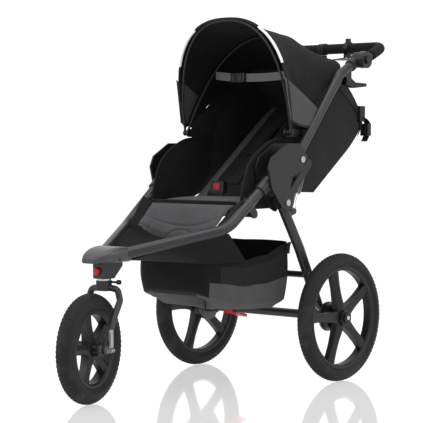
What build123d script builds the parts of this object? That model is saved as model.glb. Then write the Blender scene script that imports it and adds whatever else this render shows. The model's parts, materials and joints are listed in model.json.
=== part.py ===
"""Jogging stroller: folding tube frame, sprung rear frame, swivelling front fork, three air wheels,
a sling seat with reclining back, a two-bow canopy, an under-seat basket and a hand-braked handlebar.

Millimetres, +Z up, the front of the stroller towards -Y, the child's left side towards +X.
Every piece is drawn with the rear axle at Y = 0. Before it is written it is moved to the row frame,
whose origin lies on the floor at the middle of the whole stroller.
"""

from build123d import *
import math
import os

# ---------------------------------------------------------------- driving dimensions
# Wheels
rear_wheel_radius = 200.0
rear_tyre_section = 23.5
front_wheel_radius = 159.0
front_tyre_section = 28.0
tyre_wall = 4.0
wheel_track = 585.0
spoke_count = 5
valve_radius = 3.5
valve_length = 24.0

# Front fork and head
head_y = -746.0
fork_offset = 85.0
steer_angle = 15.0
stem_radius = 8.0
running_gap = 0.05
socket_gap = 0.05
fabric_gap = 0.3
crown_bottom = 318.0
crown_top = 348.0
head_top = 400.0
fork_leg_x = 51.0
fork_leg_radius = 9.5

# Frame tubes
tube_radius = 16.0
tube_wall = 2.0
hub_x = 217.0
hub_plate = 6.0
seat_clearance = 0.5
yoke_plate = 4.0
plate_gap = 0.5
pin_radius = 6.0

# Side view points of the folding frame, (Y, Z)
nose_point = (-718.0, 421.0)
main_bend = (-436.0, 490.0)
main_end = (-266.0, 624.0)
main_bend_x = 205.0
nose_tube_x = 36.0
button_travel = 3.0
swing_pivot = (-200.0, 562.0)
upper_pivot = (-128.0, 693.0)
shock_top = (-86.0, 680.0)
shock_bottom = (-146.0, 534.0)
upper_bend = (74.0, 958.0)
upper_bend_x = 236.0
leg_knee = (-108.0, 418.0)
leg_foot_x = 222.0

# Handlebar
bar_pivot = (172.0, 1008.0)
bar_pivot_x = 250.0
bar_y = 300.0
bar_z = 1055.0
bar_half_width = 242.0
bar_tube_radius = 11.0
grip_radius = 17.0
knuckle_radius = 27.0

# Rear axle
axle_radius = 8.0
axle_tube_radius = 14.0
cross_tube_radius = 10.0
cross_tube_z = 333.0

# Canopy
canopy_pivot = (-150.0, 775.0)
canopy_half_width = 225.0
canopy_height = 361.0
canopy_power = 2.45
canopy_wall = 3.0
mid_height = 357.0
rear_height = 405.0
front_bow_tilt = -9.0
mid_bow_tilt = 27.0
rear_edge_tilt = 52.0
bow_radius = 4.0

# Seat
seat_half_width = 180.0
seat_front = -352.0
seat_rear = -158.0
seat_top = 566.0
seat_thickness = 26.0
bight = (-150.0, 548.0)
back_angle = 38.0
back_length = 500.0
back_thickness = 24.0

# Basket
basket_wall = 4.0
basket_front = -468.0
basket_rear = -112.0
basket_front_half = 122.0
basket_rear_half = 186.0

# ---------------------------------------------------------------- places worked out from them
wheel_x = wheel_track / 2
front_bead_radius = front_wheel_radius - 1.68 * front_tyre_section
rear_bead_radius = rear_wheel_radius - 1.70 * rear_tyre_section
steer = math.radians(steer_angle)
front_reach = (
    -head_y + (fork_offset + front_wheel_radius - front_tyre_section) * math.cos(steer) + front_tyre_section
)
rear_reach = bar_y + grip_radius
rear_axle_y = (front_reach - rear_reach) / 2
outer_plate_x = hub_x + tube_radius + yoke_plate + 2 * plate_gap + 1.0
inner_plate_x = 2 * hub_x - outer_plate_x
outer_yoke_x = outer_plate_x - plate_gap - yoke_plate
inner_yoke_x = inner_plate_x + plate_gap
fork_place = Pos(0, head_y, 0) * Rot(0, 0, steer_angle)


# ---------------------------------------------------------------- shape helpers
def rod_x(radius, x0, x1, place):
    """Round rod along X at a side-view place (Y, Z)."""
    return extrude(Plane.YZ.offset(x0) * Pos(*place) * Circle(radius), x1 - x0)


def ring_x(outer, inner, x0, x1, place):
    return rod_x(outer, x0, x1, place) - rod_x(inner, x0, x1, place)


def plate_x(outline, x0, x1, corner=0.0):
    """Flat plate across X with a side-view outline and rounded corners."""
    face = make_face(Polyline(*outline, close=True))
    if corner:
        face = fillet(face.vertices(), corner)
    return extrude(Plane.YZ.offset(x0) * face, x1 - x0)


def link_x(first, second, radius, x0, x1):
    """Plate with round ends between two side-view places."""
    (y0, z0), (y1, z1) = first, second
    length = math.dist(first, second)
    turn = math.degrees(math.atan2(z1 - z0, y1 - y0))
    slot = Pos((y0 + y1) / 2, (z0 + z1) / 2) * Rot(0, 0, turn) * SlotOverall(length + 2 * radius, 2 * radius)
    return extrude(Plane.YZ.offset(x0) * slot, x1 - x0)


def swept(points, radius, bends):
    """Round bar along a path of straight runs with rounded corners."""
    path = FilletPolyline(*points, radius=bends) if len(points) > 2 else Line(*points)
    return sweep(Plane(origin=path @ 0, z_dir=path % 0) * Circle(radius), path=path)


def tube(points, radius, wall, bends=0.0):
    return swept(points, radius, bends) - swept(points, radius - wall, bends)


def rod(start, end, radius):
    """Round rod between two points in space."""
    axis = Vector(*end) - Vector(*start)
    return extrude(Plane(origin=start, z_dir=axis) * Circle(radius), axis.length)


def mirrored(shape):
    return mirror(shape, about=Plane.YZ)


def both(shape):
    return Compound([shape, mirrored(shape)])


def revolved_wheel_part(section):
    """Turns a section drawn as (across the wheel, radius) about the wheel's axle."""
    return revolve(section, axis=Axis.X, revolution_arc=360)


def along(first, second, distance):
    """Side-view place at a distance from the first place towards the second."""
    length = math.dist(first, second)
    share = distance / length
    return (first[0] + (second[0] - first[0]) * share, first[1] + (second[1] - first[1]) * share)


# ---------------------------------------------------------------- wheels
def tyre(wheel_radius, section_radius, bead_radius):
    """Hollow tyre whose beads stand on the rim at the bead radius."""
    centre = wheel_radius - section_radius
    section = Pos(0, centre) * Circle(section_radius)
    section -= Pos(0, centre) * Circle(section_radius - tyre_wall)
    section -= Pos(0, bead_radius / 2) * Rectangle(4 * section_radius, bead_radius)
    return revolved_wheel_part(section)


def spoke(hub_radius, rim_radius, depth_hub, depth_rim):
    """Tapered spoke with a ridge along its middle, rising along +Z."""
    sections = []
    stations = (
        (0.45 * hub_radius, 46.0, depth_hub),
        (0.55 * rim_radius, 27.0, 0.5 * (depth_hub + depth_rim)),
        (rim_radius + 4.0, 38.0, depth_rim),
    )
    for height, width, depth in stations:
        ridge, edge = depth / 2, 0.3 * depth
        outline = Polyline(
            (-edge, -width / 2), (0.0, -width / 2), (edge, -width / 2),
            (ridge, 0.0),
            (edge, width / 2), (0.0, width / 2), (-edge, width / 2),
            (-ridge, 0.0),
            close=True,
        )
        sections.append(Pos(0, 0, height) * make_face(outline))
    return loft(sections)


def rim(bead_radius, half_width, depth_hub, hub_radius, hub_inner, hub_outer, drum_radius=0.0):
    """Moulded wheel centre: rim bed, spokes and a bored hub. +X is the wheel's outer side."""
    rim_depth = 13.0
    rim_radius = bead_radius - rim_depth
    bed = Pos(0, bead_radius - rim_depth / 2) * Rectangle(2 * half_width, rim_depth)
    bed = chamfer(bed.vertices().group_by(Axis.Y)[0], 5.0)
    centre = revolved_wheel_part(bed)
    for number in range(spoke_count):
        turn = Rot(number * 360.0 / spoke_count + 14.0, 0, 0)
        centre += turn * spoke(hub_radius, rim_radius, depth_hub, 1.7 * half_width)
    centre += rod_x(hub_radius, -hub_inner, hub_outer, (0, 0))
    if drum_radius:
        centre += rod_x(drum_radius, -hub_inner, -hub_inner + 20.0, (0, 0))
    valve_bore = extrude(
        Plane.XY.offset(rim_radius - 2.0) * Circle(valve_radius), rim_depth + 4.0
    )
    centre -= valve_place * valve_bore
    centre -= rod_x(axle_radius + running_gap, -hub_inner - 1, hub_outer + 1, (0, 0))
    return centre


valve_place = Rot(50.0, 0, 0)


def valve(bead_radius):
    """Valve stem through the rim, with its cap."""
    stem = extrude(Plane.XY.offset(bead_radius - valve_length) * Circle(valve_radius), valve_length + 1.0)
    cap = extrude(Plane.XY.offset(bead_radius - valve_length - 8.0) * Circle(valve_radius + 0.8), 8.0)
    return valve_place * (stem + cap)


rear_centre = Pos(wheel_x, 0, rear_wheel_radius)
front_centre = fork_place * Pos(0, -fork_offset, front_wheel_radius)
rear_hub_inner = 36.0
rear_hub_outer = 27.0
front_hub_half = 38.0
rim_half = 0.72 * rear_tyre_section
front_rim_half = 0.72 * front_tyre_section

rear_tyre = tyre(rear_wheel_radius, rear_tyre_section, rear_bead_radius)
rear_rim = rim(rear_bead_radius, rim_half, 40.0, 25.0, rear_hub_inner, rear_hub_outer, 44.0)
front_tyre = tyre(front_wheel_radius, front_tyre_section, front_bead_radius)
front_rim = rim(front_bead_radius, front_rim_half, 42.0, 21.0, front_hub_half, front_hub_half)
rear_button_radius = 6.5
rear_cap_x = wheel_x + rear_hub_outer


def axle_button():
    """Push button of the quick-release axle, in the middle of the hub's outer face."""
    inner = rear_cap_x + button_travel + 0.3
    button = rod_x(rear_button_radius, inner, inner + 6.5, (0, rear_wheel_radius))
    return chamfer(button.edges().filter_by(GeomType.CIRCLE).group_by(Axis.X)[-1], 1.5)


def hub_cap():
    """Collar round the push button, part of the wheel centre."""
    place = (0, rear_wheel_radius)
    return ring_x(16.0, rear_button_radius + 0.1, rear_cap_x, rear_cap_x + 6.0, place)


# ---------------------------------------------------------------- front fork, turned by the steer angle
crown_half_x = 20.0
fork_foot = (-fork_offset, front_wheel_radius)
fork_end = 5.0


def fork():
    """Crown, stem and two bowed legs with flat axle ends."""
    crown_height = crown_top - crown_bottom
    crown = Pos(0, 0, crown_bottom + crown_height / 2) * Box(2 * crown_half_x, 34.0, crown_height)
    crown = fillet(crown.edges().filter_by(Axis.Z), 8.0)
    stem = extrude(Plane.XY.offset(crown_top) * Circle(stem_radius - running_gap), head_top - crown_top - 6.0)
    leg = swept(
        [
            (crown_half_x - 8.0, 0.0, crown_bottom + 10.5),
            (fork_leg_x - 8.0, 4.0, crown_bottom + 5.0),
            (fork_leg_x + 1.0, 2.0, crown_bottom - 27.0),
            (fork_leg_x, -40.0, front_wheel_radius + 75.0),
            (fork_leg_x, -fork_offset, front_wheel_radius + 6.0),
        ],
        fork_leg_radius,
        [16.0, 22.0, 60.0],
    )
    for x0, x1 in ((fork_leg_x - 20.0, fork_leg_x - fork_end), (fork_leg_x + fork_end, fork_leg_x + 20.0)):
        leg -= rod_x(15.5, x0, x1, fork_foot)
    end = rod_x(14.0, fork_leg_x - fork_end, fork_leg_x + fork_end, fork_foot)
    side = leg + end - rod_x(5.0, fork_leg_x - 12.0, fork_leg_x + 12.0, fork_foot)
    return crown + stem + side + mirrored(side)


def front_axle():
    """Skewer with its axle sleeve, cones and the plain end nut."""
    inner = fork_leg_x - fork_end
    outer = fork_leg_x + fork_end
    parts = rod_x(axle_radius, -inner, inner, fork_foot)
    parts += rod_x(5.0 - running_gap, -outer - 2.0, qr_pivot_x, fork_foot)
    eye = Plane.XZ.offset(fork_offset - 5.0) * Pos(qr_pivot_x, front_wheel_radius)
    parts += extrude(eye * Circle(5.0 - running_gap), 10.0)
    pin = Plane.XZ.offset(fork_offset - 8.0) * Pos(qr_pivot_x, front_wheel_radius)
    parts += extrude(pin * Circle(2.0), 16.0)
    for side in (-1, 1):
        parts += rod_x(13.0, *sorted((side * inner, side * (inner - 7.5))), fork_foot)
    parts += rod_x(10.0, -outer - 12.0, -outer, fork_foot)
    parts += rod_x(9.0, outer, outer + 7.0, fork_foot)
    return parts


qr_pivot_x = fork_leg_x + fork_end + 15.5


def quick_release_lever():
    """Forked cam and lever of the front axle, closed and pointing up."""
    y, z = fork_foot
    slot_half = 5.3
    face = Plane.XZ.offset(-y - 8.0) * Pos(qr_pivot_x, z)
    cam = extrude(face * Circle(8.0), 16.0)
    arm = Pos(qr_pivot_x, y, z + 32.0) * Box(6.0, 15.0, 52.0)
    arm = fillet(arm.edges().filter_by(Axis.X), 5.0)
    slot = Pos(qr_pivot_x, y, z + slot_half - 15.0) * Box(40.0, 2 * slot_half, 30.0)
    return cam + arm - slot - extrude(face * Circle(2.0 + running_gap), 16.0)


def track_knob():
    """Small side knob that trims the fork's straight-ahead line."""
    place = (6.0, crown_top - 4.5)
    knob = rod_x(7.0, crown_half_x + 20.0, crown_half_x + 32.0, place)
    knob = chamfer(knob.edges().filter_by(GeomType.CIRCLE), 1.5)
    return knob + rod_x(3.5, crown_half_x + 0.3, crown_half_x + 20.0, place)


# ---------------------------------------------------------------- head and nose
bearing_radius = 14.0
bearing_height = 8.0
head_half_x = 19.0


def head_housing():
    """Steering head under the nose, with a rear gusset and bearing seats."""
    outline = [
        (head_y - 26.0, head_top), (head_y - 25.0, crown_top + 5.0), (head_y + 24.0, crown_top + 5.0),
        (head_y + 58.0, head_top - 12.0), (head_y + 58.0, head_top),
    ]
    body = plate_x(outline, -head_half_x, head_half_x, 4.0)
    axis = Pos(0, head_y, 0)
    body -= axis * extrude(Plane.XY.offset(crown_top) * Circle(stem_radius + 1.5), head_top - crown_top - 4.0)
    for seat in bearing_seats:
        body -= axis * extrude(Plane.XY.offset(seat) * Circle(bearing_radius), bearing_height)
    return body


bearing_seats = (crown_top + 5.0, head_top - 6.0 - bearing_height)


def head_bearings():
    """Upper and lower bearing rings and the dust ring on the crown."""
    rings = []
    axis = Pos(0, head_y, 0)
    for seat in bearing_seats:
        ring = Plane.XY.offset(seat) * (Circle(bearing_radius) - Circle(stem_radius))
        rings.append(axis * extrude(ring, bearing_height))
    dust = Plane.XY.offset(crown_top + 0.5) * (Circle(21.0) - Circle(stem_radius))
    rings.append(axis * extrude(dust, 4.5))
    return Compound(rings)


def lock_knob():
    """Turning knob on the front of the head that locks the swivel."""
    face_y = head_y - 26.3
    knob = extrude(Plane.XZ.offset(-face_y) * Pos(0, 376.0) * Circle(11.0), 9.0)
    return chamfer(knob.edges().filter_by(GeomType.CIRCLE).group_by(Axis.Y)[0], 2.0)


def nose_housing():
    """Moulded nose that joins both main tubes to the steering head."""
    stations = (
        (head_y - 66.0, 46.0, 12.0, head_top + 6.0),
        (head_y - 40.0, 86.0, 30.0, head_top + 15.0),
        (head_y + 4.0, 112.0, 44.0, head_top + 22.0),
        (head_y + 54.0, 124.0, 40.0, head_top + 22.0),
    )
    sections = []
    for y, width, height, z in stations:
        corner = 0.42 * height
        sections.append(Plane.XZ.offset(-y) * Pos(0, z) * RectangleRounded(width, height, corner))
    nose = loft(sections)
    nose -= Pos(0, head_y, 0) * Box(200.0, 160.0, 2 * head_top)
    for side in (1, -1):
        nose -= swept(
            [(side * x, y, z) for x, y, z in main_tube_points], tube_radius + socket_gap, main_tube_bend
        )
    for x, y, z in nose_screw_places:
        nose -= Pos(x, y, z) * Cylinder(4.0, 80.0, rotation=(0, 90, 0))
    return nose


main_tube_bend = 110.0
main_tube_points = [
    (nose_tube_x, *nose_point),
    (main_bend_x, *main_bend),
    (hub_x, *main_end),
]
nose_screw_places = [(0.0, head_y + 13.0, head_top + 8.0)]


def nose_screws():
    """Cross bolts of the nose, with round heads."""
    parts = []
    for x, y, z in nose_screw_places:
        for side in (-1, 1):
            shank = rod_x(3.9, *sorted((side * 30.0, side * 58.0)), (y, z))
            parts.append(shank)
    return Compound(parts)


# ---------------------------------------------------------------- main frame
def main_tube():
    return tube(main_tube_points, tube_radius, tube_wall, main_tube_bend)


hub_outline = [
    (-292.0, 668.0), (-276.0, 702.0), (-205.0, 742.0), (-140.0, 742.0), (-100.0, 700.0),
    (-128.0, 660.0), (-176.0, 640.0), (-188.0, 606.0), (-168.0, 562.0), (-196.0, 532.0),
    (-228.0, 548.0), (-276.0, 606.0),
]
sleeve_length = 44.0


def hub_bracket():
    """Side bracket on the end of a main tube: two plates and the sleeve that holds the tube."""
    outer = plate_x(hub_outline, outer_plate_x, outer_plate_x + hub_plate, 9.0)
    inner = plate_x(hub_outline, inner_plate_x - hub_plate, inner_plate_x, 9.0)
    far = Vector(hub_x, *main_end)
    near = Vector(main_bend_x, *main_bend)
    direction = (near - far).normalized()
    sleeve = rod(far - direction * 6.0, far + direction * sleeve_length, tube_radius + 5.5)
    box_span = outer_plate_x - inner_plate_x
    keep = Pos(hub_x, main_end[0], main_end[1]) * Box(box_span, 400.0, 400.0)
    bracket = outer + inner + (sleeve & keep)
    bracket -= swept(main_tube_points, tube_radius, main_tube_bend)
    for place in (swing_pivot, upper_pivot):
        bracket -= rod_x(pin_radius, inner_plate_x - hub_plate, outer_plate_x + hub_plate, place)
    return bracket


def hub_pins():
    """Pins of the two frame pivots on each side, with heads outside the plates."""
    pins = []
    for side in (1, -1):
        for place in (swing_pivot, upper_pivot):
            pin = rod_x(pin_radius, inner_plate_x - hub_plate, outer_plate_x + hub_plate, place)
            pin += rod_x(10.0, outer_plate_x + hub_plate, outer_plate_x + hub_plate + 3.0, place)
            pins.append(pin if side == 1 else mirrored(pin))
    return Compound(pins)


seat_tube_place = (-300.0, seat_top - seat_thickness - cross_tube_radius - seat_clearance)


seat_hanger_top = (-334.0, 569.0)


def seat_cross_tube():
    """Tube under the seat, flattened on to both main tubes, that carries the seat sling."""
    y, z = seat_tube_place
    reach = hub_x - tube_radius - 3.0
    return ring_x(cross_tube_radius, cross_tube_radius - 2.0, -reach, reach, (y, z)) + seat_tube_ends(reach)


def seat_tube_ends(reach):
    """Hanger plates from the cross tube up to the main tubes."""
    plate = link_x(seat_tube_place, seat_hanger_top, 13.0, reach - 8.0, reach)
    plate -= swept(main_tube_points, tube_radius + socket_gap, main_tube_bend)
    plate = plate.solids().sort_by(SortBy.VOLUME)[-1]
    return plate + mirrored(plate)


# ---------------------------------------------------------------- upper frame
upper_tube_points = [
    (hub_x, *upper_pivot),
    (upper_bend_x, *upper_bend),
    (bar_pivot_x - 16.0, bar_pivot[0] - 24.0, bar_pivot[1] - 12.0),
]


upper_tube_radius = 15.0


def upper_tube():
    """Side tube of the handlebar frame, from the hub pivot to the handlebar joint."""
    body = tube(upper_tube_points, upper_tube_radius, tube_wall, 40.0)
    eye = rod_x(16.5, hub_x - 14.0, hub_x + 14.0, upper_pivot)
    keep_out = swept(upper_tube_points, upper_tube_radius - tube_wall, 40.0)
    body += eye - keep_out
    body -= rod_x(pin_radius + running_gap, hub_x - 40.0, hub_x + 40.0, upper_pivot)
    return body.solids().sort_by(SortBy.VOLUME)[-1]


def bar_joint():
    """Fixed half of the handlebar joint on the upper tube's end, with its pivot pin."""
    disc = rod_x(knuckle_radius - 2.0, bar_pivot_x - 24.0, bar_pivot_x - 0.4, bar_pivot)
    y, z = bar_pivot
    end = Vector(*upper_tube_points[2])
    bend = Vector(*upper_tube_points[1])
    direction = (end - bend).normalized()
    socket = rod(end - direction * 20.0, end + direction * 8.0, upper_tube_radius + 4.0)
    joint = disc + socket
    joint -= Pos(bar_pivot_x + 19.6, y, z) * Box(40.0, 120.0, 120.0)
    joint -= rod(end - direction * 40.0, end, upper_tube_radius + socket_gap)
    return joint + rod_x(pin_radius, bar_pivot_x - 20.0, bar_pivot_x + 6.0, bar_pivot)


lever_pivot = (110.0, 948.0)


lever_x = bar_pivot_x - 16.0


def fold_lever():
    """Squeeze lever under the upper tube that frees the frame to fold."""
    y, z = lever_pivot
    x = lever_x
    outline = [
        (y - 10, z + 4), (y + 8, z + 6), (y + 40, z - 12), (y + 100, z - 14),
        (y + 100, z - 24), (y + 36, z - 30), (y - 10, z - 20),
    ]
    lever = plate_x(outline, x - 9.0, x + 9.0, 3.5)
    return lever - rod_x(4.05, x - 20.0, x + 20.0, lever_pivot)


def lever_mount():
    """Ears and pin of a fold lever, clamped under the upper tube."""
    y, z = lever_pivot
    outline = [(y - 14, z + 34), (y + 12, z + 38), (y + 12, z - 8), (y - 12, z - 8)]
    ears = rod_x(4.0, lever_x - 13.0, lever_x + 13.0, lever_pivot)
    for side in (-1, 1):
        ears += plate_x(outline, *sorted((lever_x + side * 9.4, lever_x + side * 13.0)), 4.0)
    return ears - swept(upper_tube_points, upper_tube_radius + socket_gap, 40.0)


# ---------------------------------------------------------------- handlebar
def bar_points():
    """Centre line of the handlebar from the middle out to the left-hand joint."""
    return [
        (0.0, bar_y, bar_z),
        (bar_half_width, bar_y, bar_z),
        (bar_pivot_x + bar_tube_radius + 0.6, bar_pivot[0], bar_pivot[1]),
    ]


bar_bend = 42.0
eye_depth = 22.0


def handlebar_tube():
    """U-shaped handlebar with an eye at each joint."""
    half = tube(bar_points(), bar_tube_radius, tube_wall, bar_bend)
    eye = rod_x(knuckle_radius, bar_pivot_x + 0.4, bar_pivot_x + eye_depth, bar_pivot)
    half -= rod_x(knuckle_radius + 1.0, bar_pivot_x - 24.0, bar_pivot_x + 0.4, bar_pivot)
    side = half + eye - rod_x(pin_radius + running_gap, bar_pivot_x - 30.0, bar_pivot_x + 40.0, bar_pivot)
    side = side.solids().sort_by(SortBy.VOLUME)[-1]
    return side + mirrored(side)


def grip_path(gap):
    """The handlebar's own line, stopped short of the joint by a gap."""
    start, bend, end = [Vector(*p) for p in bar_points()]
    last = end + (bend - end).normalized() * gap
    return [tuple(start), tuple(bend), tuple(last)]


def foam_grip():
    points = grip_path(knuckle_radius + 16.0)
    half = swept(points, grip_radius, bar_bend)
    half -= swept(bar_points(), bar_tube_radius + socket_gap, bar_bend)
    return half + mirrored(half)


def adjust_button():
    """Button in the joint that frees the handlebar's angle."""
    head = bar_pivot_x + eye_depth + button_travel + 0.5
    button = rod_x(pin_radius, bar_pivot_x + 6.5 + button_travel, head, bar_pivot)
    return button + rod_x(13.0, head, head + 5.0, bar_pivot)


brake_x = 105.0
brake_pivot_place = (bar_y - 6.0, bar_z - grip_radius - 15.0)


def brake_bracket():
    """Clamp on the grip with the two ears that carry the brake lever."""
    clamp = ring_x(grip_radius + 4.0, grip_radius, brake_x - 9.0, brake_x + 9.0, (bar_y, bar_z))
    y, z = brake_pivot_place
    for side in (-1, 1):
        ear = Pos(brake_x + side * 7.5, y, z + 5.0) * Box(3.0, 20.0, 26.0)
        ear -= rod_x(grip_radius + 0.1, brake_x - 20.0, brake_x + 20.0, (bar_y, bar_z))
        clamp += ear
    clamp += Pos(brake_x, bar_y - 2.0, bar_z + grip_radius + 8.0) * Box(12.0, 14.0, 14.0)
    pivot = extrude(Plane.YZ.offset(brake_x - 11.0) * Pos(y, z - 3.0) * Circle(3.0), 22.0)
    return clamp + pivot


def brake_lever():
    """Hand lever below the grip."""
    y, z = brake_pivot_place
    pivot = (y, z - 3.0)
    root = rod_x(7.5, brake_x - 5.6, brake_x + 5.6, pivot)
    blade = Pos(brake_x, y - 26.0, z - 7.0) * Box(9.0, 46.0, 6.0)
    blade += Pos(brake_x + 20.0, y - 48.0, z - 7.0) * Box(52.0, 10.0, 6.0)
    lever = root + blade
    return lever - rod_x(3.1, brake_x - 12.0, brake_x + 12.0, pivot)


cable_radius = 2.5


def bar_cables():
    """Two brake cables from the lever's clamp to the two handlebar joints."""
    cables = []
    y, z = brake_pivot_place
    for side, start in ((1, brake_x + 11.4), (-1, brake_x - 11.4)):
        end_x = side * (bar_pivot_x - 20.0)
        middle = start + 0.5 * (end_x - start)
        points = [
            (start, y, z),
            (start + 0.18 * (end_x - start), y - 4.0, z - 6.0),
            (middle, y - 16.0, z - 10.0),
            (end_x - side * 24.0, y - 50.0, z - 2.0),
            (end_x + side * 6.0, bar_pivot[0] + 34.0, bar_pivot[1] + 10.0),
        ]
        cables.append(swept(points, cable_radius, [25.0, 60.0, 30.0]))
    return Compound(cables)


strap_drop = 170.0


def wrist_strap():
    """Webbing loop that hangs from the middle of the grip."""
    strap_half = 13.0
    gap = grip_radius + 0.3
    band = ring_x(gap + 2.0, gap, -strap_half, strap_half, (bar_y, bar_z))
    hang = Pos(0, bar_y, bar_z - gap - strap_drop / 2) * Box(2 * strap_half, 4.0, strap_drop)
    return band + hang


# ---------------------------------------------------------------- rear frame
def yoke():
    """Pair of links from the main pivot to the top of the shock absorber."""
    parts = []
    for x in (outer_yoke_x, inner_yoke_x):
        link = link_x(swing_pivot, shock_top, 13.0, x, x + yoke_plate)
        link -= rod_x(pin_radius + running_gap, x - 1.0, x + yoke_plate + 1.0, swing_pivot)
        link -= rod_x(4.0, x - 1.0, x + yoke_plate + 1.0, shock_top)
        parts.append(link)
    pin = rod_x(4.0, inner_yoke_x, outer_yoke_x + yoke_plate, shock_top)
    return Compound(parts + [pin])


shock_radius = 13.0
shock_body_length = 84.0
shaft_radius = 6.0
shock_length = math.dist(shock_top, shock_bottom)
shock_pin_radius = 4.0
shock_eye_gap = 1.0


def side_rod(first, second, radius, x):
    """Round rod in a side-view plane at X, between two side-view places."""
    return rod((x, *first), (x, *second), radius)


def shock_body():
    """Damper body with its upper eye, bored for the shaft."""
    top = along(shock_top, shock_bottom, 14.0)
    low = along(shock_top, shock_bottom, 14.0 + shock_body_length)
    body = side_rod(top, low, shock_radius, hub_x)
    body += rod_x(12.0, hub_x - 9.0, hub_x + 9.0, shock_top)
    body += side_rod(shock_top, top, 8.0, hub_x)
    body -= side_rod(along(shock_top, shock_bottom, 60.0), low, shaft_radius + running_gap, hub_x)
    return body - rod_x(4.0, hub_x - 20.0, hub_x + 20.0, shock_top)


def shock_shaft():
    """Sliding shaft with its lower eye and spring seat."""
    start = along(shock_top, shock_bottom, 80.0)
    end = along(shock_top, shock_bottom, shock_length - 9.5)
    seat = along(shock_top, shock_bottom, shock_length - 17.5)
    shaft = side_rod(start, end, shaft_radius, hub_x)
    shaft += side_rod(seat, end, 11.0, hub_x)
    shaft += rod_x(11.0, hub_x - 7.0, hub_x + 7.0, shock_bottom)
    return shaft - rod_x(shock_pin_radius + shock_eye_gap, hub_x - 20.0, hub_x + 20.0, shock_bottom)


leg_points = [
    (hub_x, *along(swing_pivot, leg_knee, 11.0)),
    (hub_x, *leg_knee),
    (leg_foot_x, -4.0, rear_wheel_radius + 8.0),
]


def rear_leg():
    """Swinging rear leg with its pivot eye, shock lugs and axle end."""
    body = swept(leg_points, tube_radius, 160.0)
    body += rod_x(17.0, hub_x - 16.5, hub_x + 16.5, swing_pivot)
    root = along(swing_pivot, leg_knee, 44.0)
    for side in (-1, 1):
        body += link_x(root, shock_bottom, 8.5, *sorted((hub_x + side * 8.5, hub_x + side * 12.5)))
    body += rod_x(shock_pin_radius, hub_x - 12.5, hub_x + 12.5, shock_bottom)
    body += rod_x(19.0, leg_foot_x - 12.0, leg_foot_x + 17.0, (0, rear_wheel_radius))
    body -= rod_x(pin_radius + running_gap, hub_x - 40.0, hub_x + 40.0, swing_pivot)
    body -= rod_x(axle_radius, leg_foot_x - 1.0, leg_foot_x + 40.0, (0, rear_wheel_radius))
    body -= rod_x(axle_tube_radius, 0.0, leg_foot_x, (0, rear_wheel_radius))
    body -= rod_x(cross_tube_radius, 0.0, hub_x - 8.0, cross_tube_place)
    return body


leg_slope = (leg_points[2][1] - leg_knee[0]) / (leg_points[2][2] - leg_knee[1])
cross_tube_place = (leg_knee[0] + leg_slope * (cross_tube_z - leg_knee[1]), cross_tube_z)


def rear_cross_tubes():
    """Upper cross tube and the rear axle tube with the two stub axles."""
    reach = hub_x - 8.0
    upper = ring_x(cross_tube_radius, cross_tube_radius - 2.0, -reach, reach, cross_tube_place)
    place = (0, rear_wheel_radius)
    lower = ring_x(axle_tube_radius, axle_radius, -leg_foot_x, leg_foot_x, place)
    lower += rod_x(axle_radius, -rear_cap_x, rear_cap_x, place)
    return Compound([upper, lower])


backplate_x = leg_foot_x + 22.5
backplate_radius = 46.0
brake_arm_pivot = (-27.0, rear_wheel_radius + 20.0)
brake_arm_end = (-60.0, rear_wheel_radius + 42.0)


def brake_backplate():
    """Fixed plate of the drum brake, on the leg's foot."""
    place = (0, rear_wheel_radius)
    plate = ring_x(backplate_radius, axle_radius, backplate_x, backplate_x + 8.0, place)
    plate += ring_x(15.0, axle_radius, leg_foot_x + 17.0, backplate_x, place)
    return plate + rod_x(3.0, backplate_x - 6.0, backplate_x, brake_arm_pivot)


def brake_backplates():
    plate = brake_backplate()
    return Compound([plate, mirrored(plate)])


def brake_arm():
    """Cam arm that the brake cable pulls."""
    x0, x1 = backplate_x - 4.4, backplate_x - 0.4
    arm = link_x(brake_arm_pivot, brake_arm_end, 6.5, x0, x1)
    return arm - rod_x(3.0 + running_gap, x0 - 1.0, x1 + 1.0, brake_arm_pivot)


def leg_cables():
    """Lower brake cables, held against the front of each leg."""
    lead = (tube_radius + cable_radius + 0.4) / math.cos(math.atan(leg_slope))
    upper_slope = (leg_knee[0] - swing_pivot[0]) / (leg_knee[1] - swing_pivot[1])
    upper_lead = (tube_radius + cable_radius + 0.4) / math.cos(math.atan(upper_slope))
    top = swing_pivot[1] - 30.0
    low = leg_knee[1] - 96.0
    y_end, z_end = brake_arm_end
    points = [
        (hub_x, swing_pivot[0] + upper_slope * (top - swing_pivot[1]) - upper_lead, top),
        (hub_x, leg_knee[0] - 0.5 * (lead + upper_lead), leg_knee[1]),
        (leg_foot_x, leg_knee[0] + leg_slope * (low - leg_knee[1]) - lead, low),
        (backplate_x - 2.4, y_end - 2.0, z_end + 34.0),
        (backplate_x - 2.4, y_end, z_end + 16.0),
    ]
    cable = swept(points, cable_radius, [250.0, 100.0, 25.0])
    return both(cable)


pedal_x = -150.0


def parking_pedal():
    """Foot pedal clipped round the axle tube."""
    place = (0, rear_wheel_radius)
    clip = ring_x(axle_tube_radius + 6.0, axle_tube_radius + running_gap, pedal_x - 20.0, pedal_x + 20.0, place)
    blade = Pos(pedal_x, 34.0, rear_wheel_radius - 22.0) * Rot(-18.0, 0, 0) * Box(40.0, 52.0, 9.0)
    blade = fillet(blade.edges().filter_by(Axis.X), 3.0)
    blade -= rod_x(axle_tube_radius + running_gap, pedal_x - 40.0, pedal_x + 40.0, place)
    return clip + blade


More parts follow.
